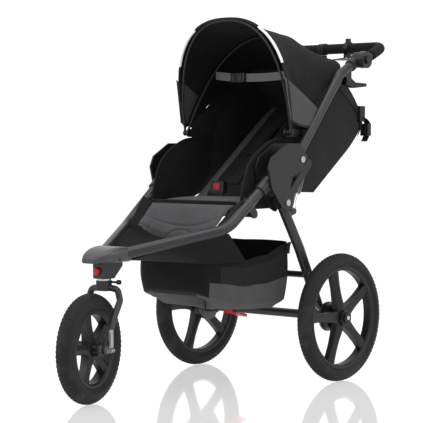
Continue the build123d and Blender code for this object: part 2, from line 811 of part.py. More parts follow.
# ---------------------------------------------------------------- seat and its fabrics
def seat_pan():
    """Seat cushion on the sling."""
    depth = seat_rear - seat_front
    pan = Pos(0, (seat_front + seat_rear) / 2, seat_top - seat_thickness / 2)
    pan = pan * Box(2 * seat_half_width, depth, seat_thickness)
    slot = Pos(0, buckle_y, seat_top - seat_thickness / 2) * Box(
        strap_width + 2 * fabric_gap, strap_thickness + 2 * fabric_gap, 2 * seat_thickness
    )
    return fillet(pan.edges().filter_by(Axis.Y), 9.0) - slot


buckle_y = -238.0
strap_width = 40.0
strap_thickness = 3.0
calf_top = (seat_front - 0.5, seat_top - 6.0)
calf_bottom = (-412.0, 436.0)
calf_top_half = 172.0
calf_bottom_half = 150.0
calf_thickness = 14.0


def sling_face(place, slope, half_width, rise, thickness):
    """Sagging strip of fabric seen along its length, on a plane that leans by the slope (dy, dz)."""
    length = math.hypot(*slope)
    frame = Plane(
        origin=(0, *place), x_dir=(1, 0, 0),
        z_dir=(0, -slope[1] / length, slope[0] / length),
    )
    lower = [(-half_width, rise), (-0.55 * half_width, 0.22 * rise), (0.0, 0.0)]
    lower += [(-x, y) for x, y in reversed(lower[:-1])]
    upper = [(x, y + thickness) for x, y in reversed(lower)]
    edges = [Spline(*lower), Line(lower[-1], upper[0]), Spline(*upper), Line(upper[-1], lower[0])]
    return frame * make_face(edges)


def calf_panel():
    """Padded panel behind the child's calves, from the seat's front edge down to the footwell."""
    lean = calf_thickness * 1.04
    return loft([
        sling_face((calf_top[0], calf_top[1]), (-1.0, 0.25), calf_top_half, 4.0, lean),
        sling_face((calf_bottom[0], calf_bottom[1]), (-1.0, 0.85), calf_bottom_half, 62.0, lean),
    ])


def footwell():
    """Fabric floor slung between the main tubes, from the calf panel to the nose."""
    floor = loft([
        sling_face((calf_bottom[0] - 18.5, calf_bottom[1] + 1.0), (-1.0, 0.85), 158.0, 64.0, 4.0),
        sling_face((-560.0, 428.0), (-0.12, 1.0), 114.5, 32.0, 4.0),
        sling_face((-664.0, 410.0), (0.0, 1.0), 49.0, 16.0, 4.0),
    ], ruled=True)
    tube_line = swept(main_tube_points, tube_radius + fabric_gap, main_tube_bend)
    floor -= tube_line
    floor -= mirrored(tube_line)
    return floor.solids().sort_by(SortBy.VOLUME)[-1]


side_outline = [
    (-350.0, 544.0), (-340.0, 600.0), (-300.0, 690.0), (-200.0, 752.0), (-96.0, 760.0),
    (-160.0, 600.0), (-172.0, 560.0), (-172.0, 544.0),
]


def seat_sides():
    """Fabric wings on both sides of the seat pan."""
    wing = plate_x(side_outline, seat_half_width + 0.4, seat_half_width + 2.0, 6.0)
    return both(wing)


back_direction = (math.cos(math.radians(back_angle)), math.sin(math.radians(back_angle)))
back_half_width = seat_half_width


def back_place(distance, rise):
    """Side-view place on the seat back, a distance up it and a rise above its rear face."""
    y = bight[0] + distance * back_direction[0] - rise * back_direction[1]
    z = bight[1] + distance * back_direction[1] + rise * back_direction[0]
    return (y, z)


def seat_back():
    """Reclining back pad, whose lower edge stands on the seat pan's rear edge."""
    start = seat_clearance + (seat_rear - bight[0]) * back_direction[0] + (seat_top - bight[1]) * back_direction[1]
    outline = [
        back_place(start, 0), back_place(back_length, 0),
        back_place(back_length, back_thickness), back_place(start, back_thickness),
    ]
    pad = plate_x(outline, -back_half_width, back_half_width, 4.0)
    ahead = Pos(0, seat_rear + fabric_gap - 50.0, seat_top) * Box(3 * back_half_width, 100.0, 200.0)
    return pad - ahead


def harness():
    """Shoulder straps with pads, lying on the back, and the hip pads."""
    parts = []
    for x in (-62.0, 62.0):
        outline = [
            back_place(70.0, back_thickness + 0.3), back_place(410.0, back_thickness + 0.3),
            back_place(410.0, back_thickness + 3.3), back_place(70.0, back_thickness + 3.3),
        ]
        parts.append(plate_x(outline, x - 19.0, x + 19.0))
        pad = [
            back_place(210.0, back_thickness + 3.6), back_place(360.0, back_thickness + 3.6),
            back_place(360.0, back_thickness + 14.0), back_place(210.0, back_thickness + 14.0),
        ]
        parts.append(plate_x(pad, x - 27.0, x + 27.0, 4.0))
    return Compound(parts)


def crotch_buckle():
    """Crotch strap through the seat pan and the buckle body with the button's pocket."""
    strap = Pos(0, buckle_y, seat_top + 4.0) * Box(strap_width, strap_thickness, 46.0)
    body = Pos(0, buckle_y, seat_top + 40.0) * Box(54.0, 18.0, 38.0)
    body = fillet(body.edges().filter_by(Axis.Y), 7.0)
    body -= Pos(0, buckle_y - 6.0, seat_top + 42.0) * Box(24.4, 10.0, 20.4)
    return body + strap


def buckle_button():
    button = Pos(0, buckle_y - 7.0, seat_top + 42.0) * Box(24.0, 7.0, 20.0)
    return fillet(button.edges().filter_by(Axis.Y), 2.5)


cover_x = back_half_width + 2.5
cover_tab_place = (45.0, 908.0)
cover_outline = [
    (-84.0, 590.0), (20.0, 586.0), (130.0, 668.0), (222.0, 738.0), (274.0, 800.0),
    (254.0, 866.0), (196.0, 930.0), (128.0, 990.0), (60.0, 926.0), (-40.0, 792.0),
]


def back_cover():
    """Fabric box behind the reclined back: two side gussets and the rear panel."""
    gusset = plate_x(cover_outline, cover_x, cover_x + 4.0, 8.0)
    outer = [(274.0, 800.0), (254.0, 866.0), (196.0, 930.0), (130.0, 988.0)]
    inner = [(y - 4.0, z - 2.0) for y, z in reversed(outer)]
    rear = plate_x(outer + inner, -cover_x, cover_x)
    tab_reach = upper_bend_x - cover_x
    tab = Pos(cover_x + 2.0 + tab_reach / 2, *cover_tab_place) * Box(tab_reach, 24.0, 12.0)
    side = gusset + tab - swept(upper_tube_points, upper_tube_radius + fabric_gap, 40.0)
    side = side.solids().sort_by(SortBy.VOLUME)[-1]
    return side + rear + mirrored(side)


strap_rise = 209.0


def cross_strap():
    """Webbing across the canopy's middle bow, with a side-release buckle."""
    rise = strap_rise
    lean = math.radians(mid_bow_tilt)
    y = canopy_pivot[0] + rise * math.sin(lean)
    z = canopy_pivot[1] + rise * math.cos(lean)
    inset = canopy_wall + bow_radius + 0.5
    share = rise / (mid_height - inset)
    centre_x = (mid_bow_half - inset) * (1 - share ** canopy_power) ** (1 / canopy_power)
    reach = centre_x - 1.6 * bow_radius
    strap = Pos(0, y, z) * Box(2 * reach, 3.0, 26.0)
    buckle = Pos(-70.0, y - 6.8, z) * Box(58.0, 10.0, 32.0)
    return Compound([strap, fillet(buckle.edges().filter_by(Axis.Y), 5.0)])


# ---------------------------------------------------------------- canopy
def arch_points(half_width, height, foot=0.0, count=9):
    """Half outline of a bow, from its right-hand foot to the top, as (X, height)."""
    points = []
    for step in range(count):
        turn = math.pi / 2 * step / (count - 1)
        x = half_width * math.cos(turn) ** (2 / canopy_power)
        rise = foot + (height - foot) * math.sin(turn) ** (2 / canopy_power)
        points.append((x, rise))
    points[-1] = (0.0, height)
    return points


def arch_plane(tilt, shift=0.0):
    """Plane of a bow: local X across the stroller, local Y up the bow, leaning back by the tilt."""
    lean = math.radians(tilt)
    plane = Plane(
        origin=(0, *canopy_pivot), x_dir=(1, 0, 0), z_dir=(0, -math.cos(lean), math.sin(lean))
    )
    return plane.offset(shift)


def arch_face(tilt, half_width, height, foot, shift=0.0):
    """Thin arched section of the canopy shell on one bow's plane."""
    outer = arch_points(half_width, height, foot)
    inner = arch_points(half_width - canopy_wall, height - canopy_wall, foot)
    outer += [(-x, rise) for x, rise in reversed(outer[:-1])]
    inner += [(-x, rise) for x, rise in reversed(inner[:-1])]
    edges = [
        Spline(*outer), Line(outer[-1], inner[-1]), Spline(*reversed(inner)), Line(inner[0], outer[0]),
    ]
    return arch_plane(tilt, shift) * make_face(edges)


canopy_split = 0.4
front_foot = 95.0
mid_foot = 38.0
rear_foot = 296.0
rear_half_width = 218.0
mid_bow_half = canopy_half_width - 2 * bow_radius - 0.8


def canopy_front():
    """Front canopy panel, between the front and the middle bow."""
    return loft([
        arch_face(front_bow_tilt, canopy_half_width, canopy_height, front_foot),
        arch_face(mid_bow_tilt, canopy_half_width, mid_height, mid_foot, canopy_split),
    ])


def canopy_rear():
    """Rear canopy panel, from the middle bow to the upper tubes."""
    return loft([
        arch_face(mid_bow_tilt, canopy_half_width, mid_height, mid_foot, -canopy_split),
        arch_face(rear_edge_tilt, rear_half_width, rear_height, rear_foot),
    ])


def canopy_bow(tilt, half_width, height):
    """Round bow just inside the fabric, with flat eyes on the canopy pivots."""
    inset = canopy_wall + bow_radius + 0.5
    half = arch_points(half_width - inset, height - inset, count=7)
    points = half + [(-x, rise) for x, rise in reversed(half[:-1])]
    path = Spline(*points, tangents=[(0, 1), (0, -1)])
    bow = sweep(Plane(origin=path @ 0, z_dir=path % 0) * Circle(bow_radius), path=path)
    bow = arch_plane(tilt) * bow
    foot_x = half_width - inset
    eye = rod_x(9.0, foot_x - 3.0, foot_x + 3.0, canopy_pivot)
    bow += eye + mirrored(eye)
    return bow - rod_x(5.0 + running_gap, -canopy_half_width, canopy_half_width, canopy_pivot)


def canopy_front_bow():
    return canopy_bow(front_bow_tilt, canopy_half_width, canopy_height)


def canopy_mid_bow():
    """Middle bow, whose feet sit inside those of the front bow."""
    return canopy_bow(mid_bow_tilt, mid_bow_half, mid_height)


def canopy_pivots():
    """Clamps on the upper tubes that carry the canopy's pivot pins."""
    inner = canopy_half_width - 2 * bow_radius - 13.5
    block = link_x(canopy_pivot, clamp_place, 13.0, inner - 7.0, inner)
    block += rod_x(5.0, inner, canopy_half_width - 1.0, canopy_pivot)
    block += rod_x(upper_tube_radius + 4.0, inner - 7.0, inner + 16.0, clamp_place)
    block -= swept(upper_tube_points, upper_tube_radius + socket_gap, 40.0)
    return both(block.solids().sort_by(SortBy.VOLUME)[-1])


clamp_place = (-66.0, 774.0)


# ---------------------------------------------------------------- basket
basket_corners_top = {"front": 392.0, "rear": 440.0}
basket_corners_low = {"front": 282.0, "rear": 232.0}
front_strap = [(114.0, 386.0), (124.0, 386.0), (196.0, 474.0), (184.0, 474.0)]


def basket_block(inset, open_top):
    """Tapered block of the basket's outside, or of its inside when inset."""
    sections = []
    stations = (
        (basket_front + inset, basket_front_half - inset, basket_corners_low["front"], basket_corners_top["front"]),
        (-330.0, 176.0 - inset, 238.0, 388.0),
        (basket_rear - inset, basket_rear_half - inset, basket_corners_low["rear"], basket_corners_top["rear"]),
    )
    for y, half, low, top in stations:
        bottom = low + inset
        upper = top + (20.0 if open_top else 0.0)
        outline = Polyline((-half, bottom), (half, bottom), (half, upper), (-half, upper), close=True)
        sections.append(Plane.XZ.offset(-y) * make_face(outline))
    return loft(sections, ruled=True)


def basket():
    """Under-seat fabric basket, open at the top, with its hanging tabs."""
    shell = basket_block(0.0, False) - basket_block(basket_wall, True)
    rear_z = basket_corners_top["rear"] - 6.0
    leg_slant = (leg_knee[0] - swing_pivot[0]) / (leg_knee[1] - swing_pivot[1])
    leg_y = leg_knee[0] + (rear_z - leg_knee[1]) * leg_slant
    reach = hub_x - tube_radius - fabric_gap
    tab_start = basket_rear_half - 3.0
    tab = Pos((tab_start + reach) / 2, leg_y, rear_z) * Box(reach - tab_start, 16.0, 10.0)
    strap = Plane.XZ.offset(-basket_front - 24.0) * make_face(Polyline(*front_strap, close=True))
    strap = extrude(strap, 18.0)
    strap -= swept(main_tube_points, tube_radius + fabric_gap, main_tube_bend)
    strap = strap.solids().sort_by(SortBy.VOLUME)[-1]
    return shell + tab + mirrored(tab) + strap + mirrored(strap)


# ---------------------------------------------------------------- all nodes
def pair(shape):
    return {"right": mirrored(shape), "left": shape}


def nodes():
    """Every node of the stroller by name. The child's left side is +X."""
    made = {
        "nose_housing": Compound([nose_housing(), nose_screws()]),
        "main_tubes": both(main_tube()),
        "hub_brackets": both(hub_bracket()),
        "upper_tubes": both(upper_tube()),
        "bar_joints": both(bar_joint() + lever_mount()),
        "shock_yokes": both(yoke()),
        "shock_bodies": both(shock_body()),
        "rear_legs": both(rear_leg()),
        "head_housing": head_housing(),
        "head_bearings": head_bearings(),
        "swivel_lock_knob": lock_knob(),
        "hub_pins": hub_pins(),
        "seat_cross_tube": seat_cross_tube(),
        "seat_pan": seat_pan(),
        "calf_panel": calf_panel(),
        "footwell": footwell(),
        "seat_sides": seat_sides(),
        "basket": basket(),
        "crotch_buckle": crotch_buckle(),
        "buckle_button": buckle_button(),
        "fork": fork_place * fork(),
        "front_axle": fork_place * front_axle(),
        "quick_release_lever": fork_place * quick_release_lever(),
        "track_knob": fork_place * track_knob(),
        "front_tyre": front_centre * Compound([front_tyre, valve(front_bead_radius)]),
        "front_rim": front_centre * front_rim,
        "rear_cross_tubes": rear_cross_tubes(),
        "brake_backplates": brake_backplates(),
        "leg_brake_cables": leg_cables(),
        "parking_pedal": parking_pedal(),
        "handlebar_tube": handlebar_tube(),
        "foam_grip": foam_grip(),
        "brake_bracket": brake_bracket(),
        "brake_lever": brake_lever(),
        "bar_brake_cables": bar_cables(),
        "wrist_strap": wrist_strap(),
        "seat_back": seat_back(),
        "harness": harness(),
        "back_cover": back_cover(),
        "cross_strap": cross_strap(),
        "canopy_pivots": canopy_pivots(),
        "canopy_front_bow": canopy_front_bow(),
        "canopy_mid_bow": canopy_mid_bow(),
        "canopy_front": canopy_front(),
        "canopy_rear": canopy_rear(),
    }
    wheel_with_cap = rear_centre * rear_rim + hub_cap()
    sided = {
        "fold_lever": fold_lever(),
        "adjust_button": adjust_button(),
        "shock_shaft": shock_shaft(),
        "rear_tyre": rear_centre * Compound([rear_tyre, valve(rear_bead_radius)]),
        "rear_rim": wheel_with_cap,
        "axle_button": axle_button(),
        "brake_arm": brake_arm(),
    }
    for name, shape in sided.items():
        for side, placed in pair(shape).items():
            made[f"{name}_{side}"] = placed
    return made


def main():
    os.makedirs("parts", exist_ok=True)
    row = Pos(0, rear_axle_y, 0)
    for name, shape in nodes().items():
        placed = row * shape
        export_step(placed, f"parts/{name}.step")


if __name__ == "__main__":
    main()
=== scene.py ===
import json
import math

import bpy
from mathutils import Matrix, Vector

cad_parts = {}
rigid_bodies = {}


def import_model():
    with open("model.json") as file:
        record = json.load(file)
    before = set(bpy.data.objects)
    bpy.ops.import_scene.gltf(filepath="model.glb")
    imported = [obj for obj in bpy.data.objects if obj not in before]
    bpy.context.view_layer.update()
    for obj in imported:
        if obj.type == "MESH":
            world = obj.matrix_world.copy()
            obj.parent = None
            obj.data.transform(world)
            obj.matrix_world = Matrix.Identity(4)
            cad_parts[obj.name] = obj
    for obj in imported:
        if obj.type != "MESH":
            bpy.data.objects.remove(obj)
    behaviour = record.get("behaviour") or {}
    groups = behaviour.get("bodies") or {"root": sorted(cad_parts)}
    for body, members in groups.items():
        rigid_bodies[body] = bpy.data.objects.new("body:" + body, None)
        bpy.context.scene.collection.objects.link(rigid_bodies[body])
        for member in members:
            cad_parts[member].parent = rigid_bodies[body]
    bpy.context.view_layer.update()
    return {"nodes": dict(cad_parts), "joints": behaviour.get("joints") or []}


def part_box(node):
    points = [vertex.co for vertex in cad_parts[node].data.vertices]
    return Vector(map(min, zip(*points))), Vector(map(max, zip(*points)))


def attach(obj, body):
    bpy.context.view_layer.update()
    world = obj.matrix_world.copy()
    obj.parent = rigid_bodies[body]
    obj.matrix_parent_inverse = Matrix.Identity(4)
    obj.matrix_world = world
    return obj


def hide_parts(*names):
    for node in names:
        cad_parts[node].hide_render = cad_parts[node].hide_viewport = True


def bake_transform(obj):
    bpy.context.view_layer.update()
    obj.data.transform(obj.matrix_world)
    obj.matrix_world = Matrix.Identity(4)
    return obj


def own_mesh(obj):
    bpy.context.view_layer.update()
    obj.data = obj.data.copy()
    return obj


for leftover in list(bpy.data.objects):
    bpy.data.objects.remove(leftover)
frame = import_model()
scene = bpy.context.scene
tyreLow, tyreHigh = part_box("rear_tyre_left")
axleY = (tyreLow.y + tyreHigh.y) / 2


def at(x, y, z):  # millimetres, with y measured from the rear axle
    return Vector((x / 1000, y / 1000 + axleY, z / 1000))


# camera, light and floor
view = {
    "place": (3.300, -3.744, 0.756),
    "target": (0.128, -0.0707, 0.539),
    "lens": 136.05,
    "worldStrength": 0.42,
    "backdropStrength": 1.1,
    "floorTone": 0.3,
    "floorGloss": 0.42,
    "floorGlow": 0.92,
}
bpy.ops.object.camera_add(location=view["place"])
camera = bpy.context.object
camera.name = "studioCamera"
camera.data.lens = view["lens"]
camera.data.clip_end = 60
camera.rotation_euler = (Vector(view["target"]) - camera.location).to_track_quat("-Z", "Y").to_euler()
scene.camera = camera
scene.view_settings.view_transform = "Standard"
lights = (  # name, place, size, watts
    ("overhead", (0.6, -0.6, 3.4), 2.6, 60),
    ("frontSoftbox", (-1.2, -3.4, 2.2), 1.8, 40),
    ("sideSoftbox", (3.6, 0.6, 2.0), 1.6, 26),
)
for name, place, size, watts in lights:
    bpy.ops.object.light_add(type="AREA", location=place)
    lamp = bpy.context.object
    lamp.name = name
    lamp.data.size = size
    lamp.data.energy = watts
    lamp.rotation_euler = (Vector((0, 0, 0.5)) - lamp.location).to_track_quat("-Z", "Y").to_euler()


# shader maths
class Field:  # a socket that takes part in sums
    def __init__(self, finish, socket):
        self.finish = finish
        self.socket = socket

    def math(self, operation, *others):
        return self.finish.maths(operation, self, *others)

    def __add__(self, other):
        return self.math("ADD", other)

    __radd__ = __add__

    def __mul__(self, other):
        return self.math("MULTIPLY", other)

    __rmul__ = __mul__

    def __sub__(self, other):
        return self.math("SUBTRACT", other)

    def __rsub__(self, other):
        return self.finish.maths("SUBTRACT", other, self)

    def __gt__(self, other):
        return self.math("GREATER_THAN", other)

    def __abs__(self):
        return self.math("ABSOLUTE")

    def sine(self):
        return self.math("SINE")


class Finish:  # one material, whose constants sit on the shader's own sockets
    def __init__(self, name, **constants):
        self.material = bpy.data.materials.new(name)
        self.material.use_nodes = True
        self.tree = self.material.node_tree
        self.tree.nodes.clear()
        named = {key.replace("_", " "): value for key, value in constants.items()}
        self.shader = self.node("BsdfPrincipled", {}, named)
        self.output = self.node("OutputMaterial")
        self.tree.links.new(self.shader.outputs[0], self.output.inputs[0])

    def node(self, kind, settings=None, values=None):
        made = self.tree.nodes.new("ShaderNode" + kind)
        for key, value in (settings or {}).items():
            if key == "stops":
                while len(made.color_ramp.elements) < len(value):
                    made.color_ramp.elements.new(0.5)
                for stop, (place, colour) in zip(made.color_ramp.elements, value):
                    stop.position, stop.color = place, colour
            else:
                setattr(made, key, value)
        for key, value in (values or {}).items():
            self.put(made.inputs[key], value)
        return made

    def put(self, socket, value):
        if isinstance(value, Field):
            self.tree.links.new(value.socket, socket)
        elif isinstance(value, (tuple, list)) and socket.type == "RGBA" and len(value) == 3:
            socket.default_value = (*value, 1)
        else:
            socket.default_value = value

    def feed(self, **fields):
        for key, value in fields.items():
            self.put(self.shader.inputs[key.replace("_", " ")], value)

    def maths(self, operation, *values):
        made = self.node("Math", {"operation": operation}, dict(enumerate(values)))
        return Field(self, made.outputs[0])

    def coordinates(self, source):
        return Field(self, self.node("TexCoord").outputs[source])

    def parts(self, vector):
        made = self.node("SeparateXYZ", {}, {0: vector})
        return [Field(self, out) for out in made.outputs]

    def noise(self, scale, detail=2.0, stretch=(1, 1, 1), source="Object"):
        place = self.node("Mapping", {}, {"Vector": self.coordinates(source), "Scale": stretch})
        made = self.node("TexNoise", {}, {"Vector": Field(self, place.outputs[0]), "Scale": scale, "Detail": detail})
        return Field(self, made.outputs[0])

    def mix(self, share, first, second):
        made = self.node("Mix", {"data_type": "RGBA"}, {0: share, 6: first, 7: second})
        return Field(self, made.outputs[2])

    def bump(self, height, strength, distance):
        made = self.node("Bump", {}, {"Strength": strength, "Distance": distance, "Height": height})
        self.put(self.shader.inputs["Normal"], Field(self, made.outputs[0]))


def tinted(colour, share):
    return tuple(min(1.0, c * share) for c in colour)


def paint(name, colour, roughness=0.38, metallic=0.25):  # powder coat with a fine orange peel
    finish = Finish(name, Metallic=metallic, Coat_Weight=0.12, Coat_Roughness=0.3, Specular_IOR_Level=0.3)
    speck = finish.noise(520, 3)
    cloud = finish.noise(9, 2)
    finish.feed(Base_Color=finish.mix(speck * 0.6 + cloud * 0.4, tinted(colour, 0.82), tinted(colour, 1.22)))
    finish.feed(Roughness=cloud * 0.12 + (roughness - 0.06))
    finish.bump(finish.noise(700, 2), 0.25, 0.0004)
    return finish.material


def moulded(name, colour, roughness=0.5, grain=900):  # moulded plastic with a spark-eroded grain
    finish = Finish(name, Specular_IOR_Level=0.28)
    wear = finish.noise(14, 4)
    finish.feed(Base_Color=finish.mix(wear, tinted(colour, 0.85), tinted(colour, 1.2)))
    finish.feed(Roughness=wear * 0.14 + (roughness - 0.07))
    finish.bump(finish.noise(grain, 3), 0.3, 0.0004)
    return finish.material


def metal(name, colour, roughness=0.28, stretch=(1, 1, 12)):  # turned or brushed metal
    finish = Finish(name, Metallic=1.0)
    brushed = finish.noise(160, 3, stretch)
    stain = finish.noise(25, 2)
    finish.feed(Base_Color=finish.mix(stain, tinted(colour, 0.8), tinted(colour, 1.1)))
    finish.feed(Roughness=brushed * 0.18 + (roughness - 0.07))
    finish.bump(brushed, 0.15, 0.0003)
    return finish.material


def rubber(name, colour, dust=(0.045, 0.044, 0.043)):  # black rubber with dust in its hollows
    finish = Finish(name, Specular_IOR_Level=0.2)
    dirt = finish.noise(18, 5)
    share = finish.maths("SMOOTH_MIN", finish.maths("MAXIMUM", dirt - 0.52, 0.0) * 2.6, 0.6, 0.1)
    finish.feed(Base_Color=finish.mix(share, colour, dust))
    finish.feed(Roughness=dirt * 0.2 + 0.58)
    finish.bump(finish.noise(650, 3), 0.35, 0.0005)
    return finish.material


def foam(name, colour):  # closed-cell foam with open pores
    finish = Finish(name, Sheen_Weight=0.04, Sheen_Roughness=0.5, Specular_IOR_Level=0.15)
    cells = finish.node("TexVoronoi", {"feature": "F1"}, {"Vector": finish.coordinates("Object"), "Scale": 520})
    pores = Field(finish, cells.outputs[0])
    # the colour follows the pores: darker at each pore's sunken centre and lighter on the raised cell walls, painted
    # shade in the pores
    finish.feed(Base_Color=finish.mix(pores, tinted(colour, 0.6), tinted(colour, 1.5)), Roughness=0.9)
    finish.bump(pores, 0.5, 0.0006)
    return finish.material


def cloth(name, colour, pitch=1.6, source="UV", depth=0.5, sheen=0.03, toneAndWeaveShade=0.16):  # plain weave
    finish = Finish(name, Sheen_Weight=sheen, Sheen_Roughness=0.45, Specular_IOR_Level=0.12)
    x, y, z = finish.parts(finish.coordinates(source))
    turns = 2 * math.pi * 1000 / pitch
    if source == "UV":
        warp, weft = (x * turns).sine(), (y * turns).sine()
    else:
        warp, weft = ((x + z * 0.6) * turns).sine(), ((y - z * 0.8) * turns).sine()
    weave = warp * weft
    heather = finish.noise(420, 3)
    cloud = finish.noise(22, 3)
    # the weave term paints the gaps between threads darker and their raised crossings lighter, as painted shade and
    # highlight; the heather and cloud are the cloth's own random tone
    share = weave * 0.12 + heather * 0.5 + cloud * 0.5
    finish.feed(Base_Color=finish.mix(share, tinted(colour, 1 - 2.2 * toneAndWeaveShade), tinted(colour, 1 + 2.2 * toneAndWeaveShade)))
    finish.feed(Roughness=0.93 - cloud * 0.12)
    finish.bump(weave * 0.7 + heather * 0.6, depth, 0.0006)
    return finish.material


def ribbed(name, colour, rib=2.2):  # woven webbing, ribs across its length
    finish = Finish(name, Sheen_Weight=0.02, Specular_IOR_Level=0.2)
    x, y, _ = finish.parts(finish.coordinates("UV"))
    turns = 2 * math.pi * 1000 / rib
    ribs = (y * turns + (x * turns * 0.5).sine() * 1.4).sine()
    # the colour follows the ribs: lighter on each crest and darker in each groove, painted highlight and painted shade
    finish.feed(Base_Color=finish.mix(ribs * 0.5 + 0.5, tinted(colour, 0.75), tinted(colour, 1.3)))
    finish.feed(Roughness=0.62 + ribs * 0.06)
    finish.bump(ribs, 0.5, 0.0005)
    return finish.material


def netting(name, colour, pitch=4.2):  # open mesh with round holes
    finish = Finish(name, Roughness=0.7, Specular_IOR_Level=0.25)
    x, y, _ = finish.parts(finish.coordinates("UV"))
    turns = math.pi * 1000 / pitch
    hole = abs((x * turns).sine()) * abs((y * turns).sine())
    strand = 1 - (hole > 0.62)
    # the strands are painted lighter on their raised middles and darker towards the holes' edges, as painted highlight
    # and painted shade
    finish.feed(Base_Color=finish.mix(hole, tinted(colour, 1.5), tinted(colour, 0.6)), Alpha=strand)
    finish.bump(1 - hole, 0.6, 0.0008)
    return finish.material


def labelled(name, colour, label, low, high):  # dark paint with a plain bright band between two heights
    finish = Finish(name, Metallic=0.2, Coat_Weight=0.3)
    z = finish.parts(finish.coordinates("Object"))[2]
    band = (z > low) * (1 - (z > high))
    finish.feed(Base_Color=finish.mix(band, colour, label), Roughness=finish.noise(40, 2) * 0.1 + 0.3)
    finish.bump(finish.noise(500, 2), 0.15, 0.0003)
    return finish.material


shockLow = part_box("shock_bodies")[0]
finishes = {
    "frame_paint": paint("framePaint", (0.021, 0.022, 0.0235)),
    "hub_paint": paint("hubPaint", (0.013, 0.0135, 0.0145), 0.42),
    "black_plastic": moulded("blackPlastic", (0.006, 0.006, 0.0065), 0.42),
    "dark_plastic": moulded("darkPlastic", (0.016, 0.0165, 0.018), 0.48),
    "red_plastic": moulded("redPlastic", (0.42, 0.012, 0.018), 0.35),
    "tyre_rubber": rubber("tyreRubber", (0.013, 0.013, 0.013)),
    "grip_foam": foam("gripFoam", (0.008, 0.008, 0.0085)),
    "steel": metal("steel", (0.56, 0.56, 0.57)),
    "zinc": metal("zincPlate", (0.42, 0.42, 0.43), 0.36),
    "black_fabric": cloth("blackFabric", (0.0095, 0.0095, 0.01)),
    "grey_fabric": cloth("greyFabric", (0.078, 0.078, 0.081)),
    "shock_label": labelled("shockPaint", (0.03, 0.031, 0.033), (0.35, 0.5, 0.03),
                            shockLow.z + 0.052, shockLow.z + 0.074),
    "cable_black": rubber("cableSheath", (0.01, 0.01, 0.01)),
}
extraFinishes = {
    "padBlack": cloth("padBlack", (0.011, 0.011, 0.0115), 1.6, "Object"),
    "padGrey": cloth("padGrey", (0.085, 0.085, 0.089), 1.6, "Object"),
    "coverCloth": cloth("coverCloth", (0.021, 0.021, 0.022)),
    "blackWebbing": ribbed("blackWebbing", (0.007, 0.007, 0.0075)),
    "greyWebbing": ribbed("greyWebbing", (0.13, 0.13, 0.135)),
    "mesh": netting("basketMesh", (0.009, 0.009, 0.0095)),
    "reflective": moulded("reflectiveTrim", (0.78, 0.79, 0.8), 0.4, 1400),
    "bowSteel": paint("bowPaint", (0.008, 0.008, 0.009), 0.4),
    "nosePaint": paint("nosePaint", (0.05, 0.051, 0.054), 0.36),
    "brakeSteel": metal("brakeSteel", (0.09, 0.09, 0.092), 0.45),
}
for node in frame["nodes"].values():
    for place in node.material_slots:
        place.material = finishes[place.material.name.split(".")[0]]
for name, material in (("canopy_front_bow", "bowSteel"), ("canopy_mid_bow", "bowSteel"), ("nose_housing", "nosePaint"),
                       ("brake_backplates", "brakeSteel")):
    frame["nodes"][name].material_slots[0].material = extraFinishes[material]
print("finishes made")


# hand tools
def activate(piece):
    if bpy.context.mode != "OBJECT":
        bpy.ops.object.mode_set(mode="OBJECT")
    bpy.ops.object.select_all(action="DESELECT")
    piece.select_set(True)
    bpy.context.view_layer.objects.active = piece
    return piece


def modify(piece, kind, **settings):
    made = piece.modifiers.new(kind.lower(), kind)
    for key, value in settings.items():
        setattr(made, key, value)
    activate(piece)
    bpy.ops.object.modifier_apply(modifier=made.name)


def settled(piece):  # puts the place into the mesh, so that the object sits at the origin
    activate(piece)
    bpy.ops.object.transform_apply(location=True, rotation=True, scale=True)
    return piece


def pickFaces(piece, wanted):
    activate(piece)
    bpy.ops.object.mode_set(mode="EDIT")
    bpy.ops.mesh.select_mode(type="FACE")
    bpy.ops.mesh.select_all(action="DESELECT")
    bpy.ops.object.mode_set(mode="OBJECT")
    for face in piece.data.polygons:
        face.select = bool(wanted(face))
    bpy.ops.object.mode_set(mode="EDIT")


def dress(piece, *materials):
    piece.data.materials.clear()
    for material in materials:
        piece.data.materials.append(material)


def smooth(piece, angle=40):
    activate(piece)
    bpy.ops.object.shade_smooth_by_angle(angle=math.radians(angle))


def finishPiece(piece, body, slot, *nodes):
    settled(piece)
    if body:
        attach(piece, body)
    if nodes:
        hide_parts(*nodes)
    return piece


# lines and sheets
def smoothLine(points, count):  # a smooth run through the points, evenly spaced
    points = [Vector(p) for p in points]
    ends = [points[0] * 2 - points[1], *points, points[-1] * 2 - points[-2]]
    fine = []
    for i in range(len(points) - 1):
        a, b, c, d = ends[i:i + 4]
        for step in range(16):
            t = step / 16
            fine.append(0.5 * (2 * b + (c - a) * t + (2 * a - 5 * b + 4 * c - d) * t * t
                               + (3 * b - a - 3 * c + d) * t ** 3))
    fine.append(points[-1])
    lengths = [0.0]
    for first, second in zip(fine, fine[1:]):
        lengths.append(lengths[-1] + (second - first).length)
    line, spot = [], 0
    for step in range(count):
        goal = lengths[-1] * step / (count - 1)
        while spot < len(fine) - 2 and lengths[spot + 1] < goal:
            spot += 1
        span = max(lengths[spot + 1] - lengths[spot], 1e-9)
        line.append(fine[spot].lerp(fine[spot + 1], (goal - lengths[spot]) / span))
    return line


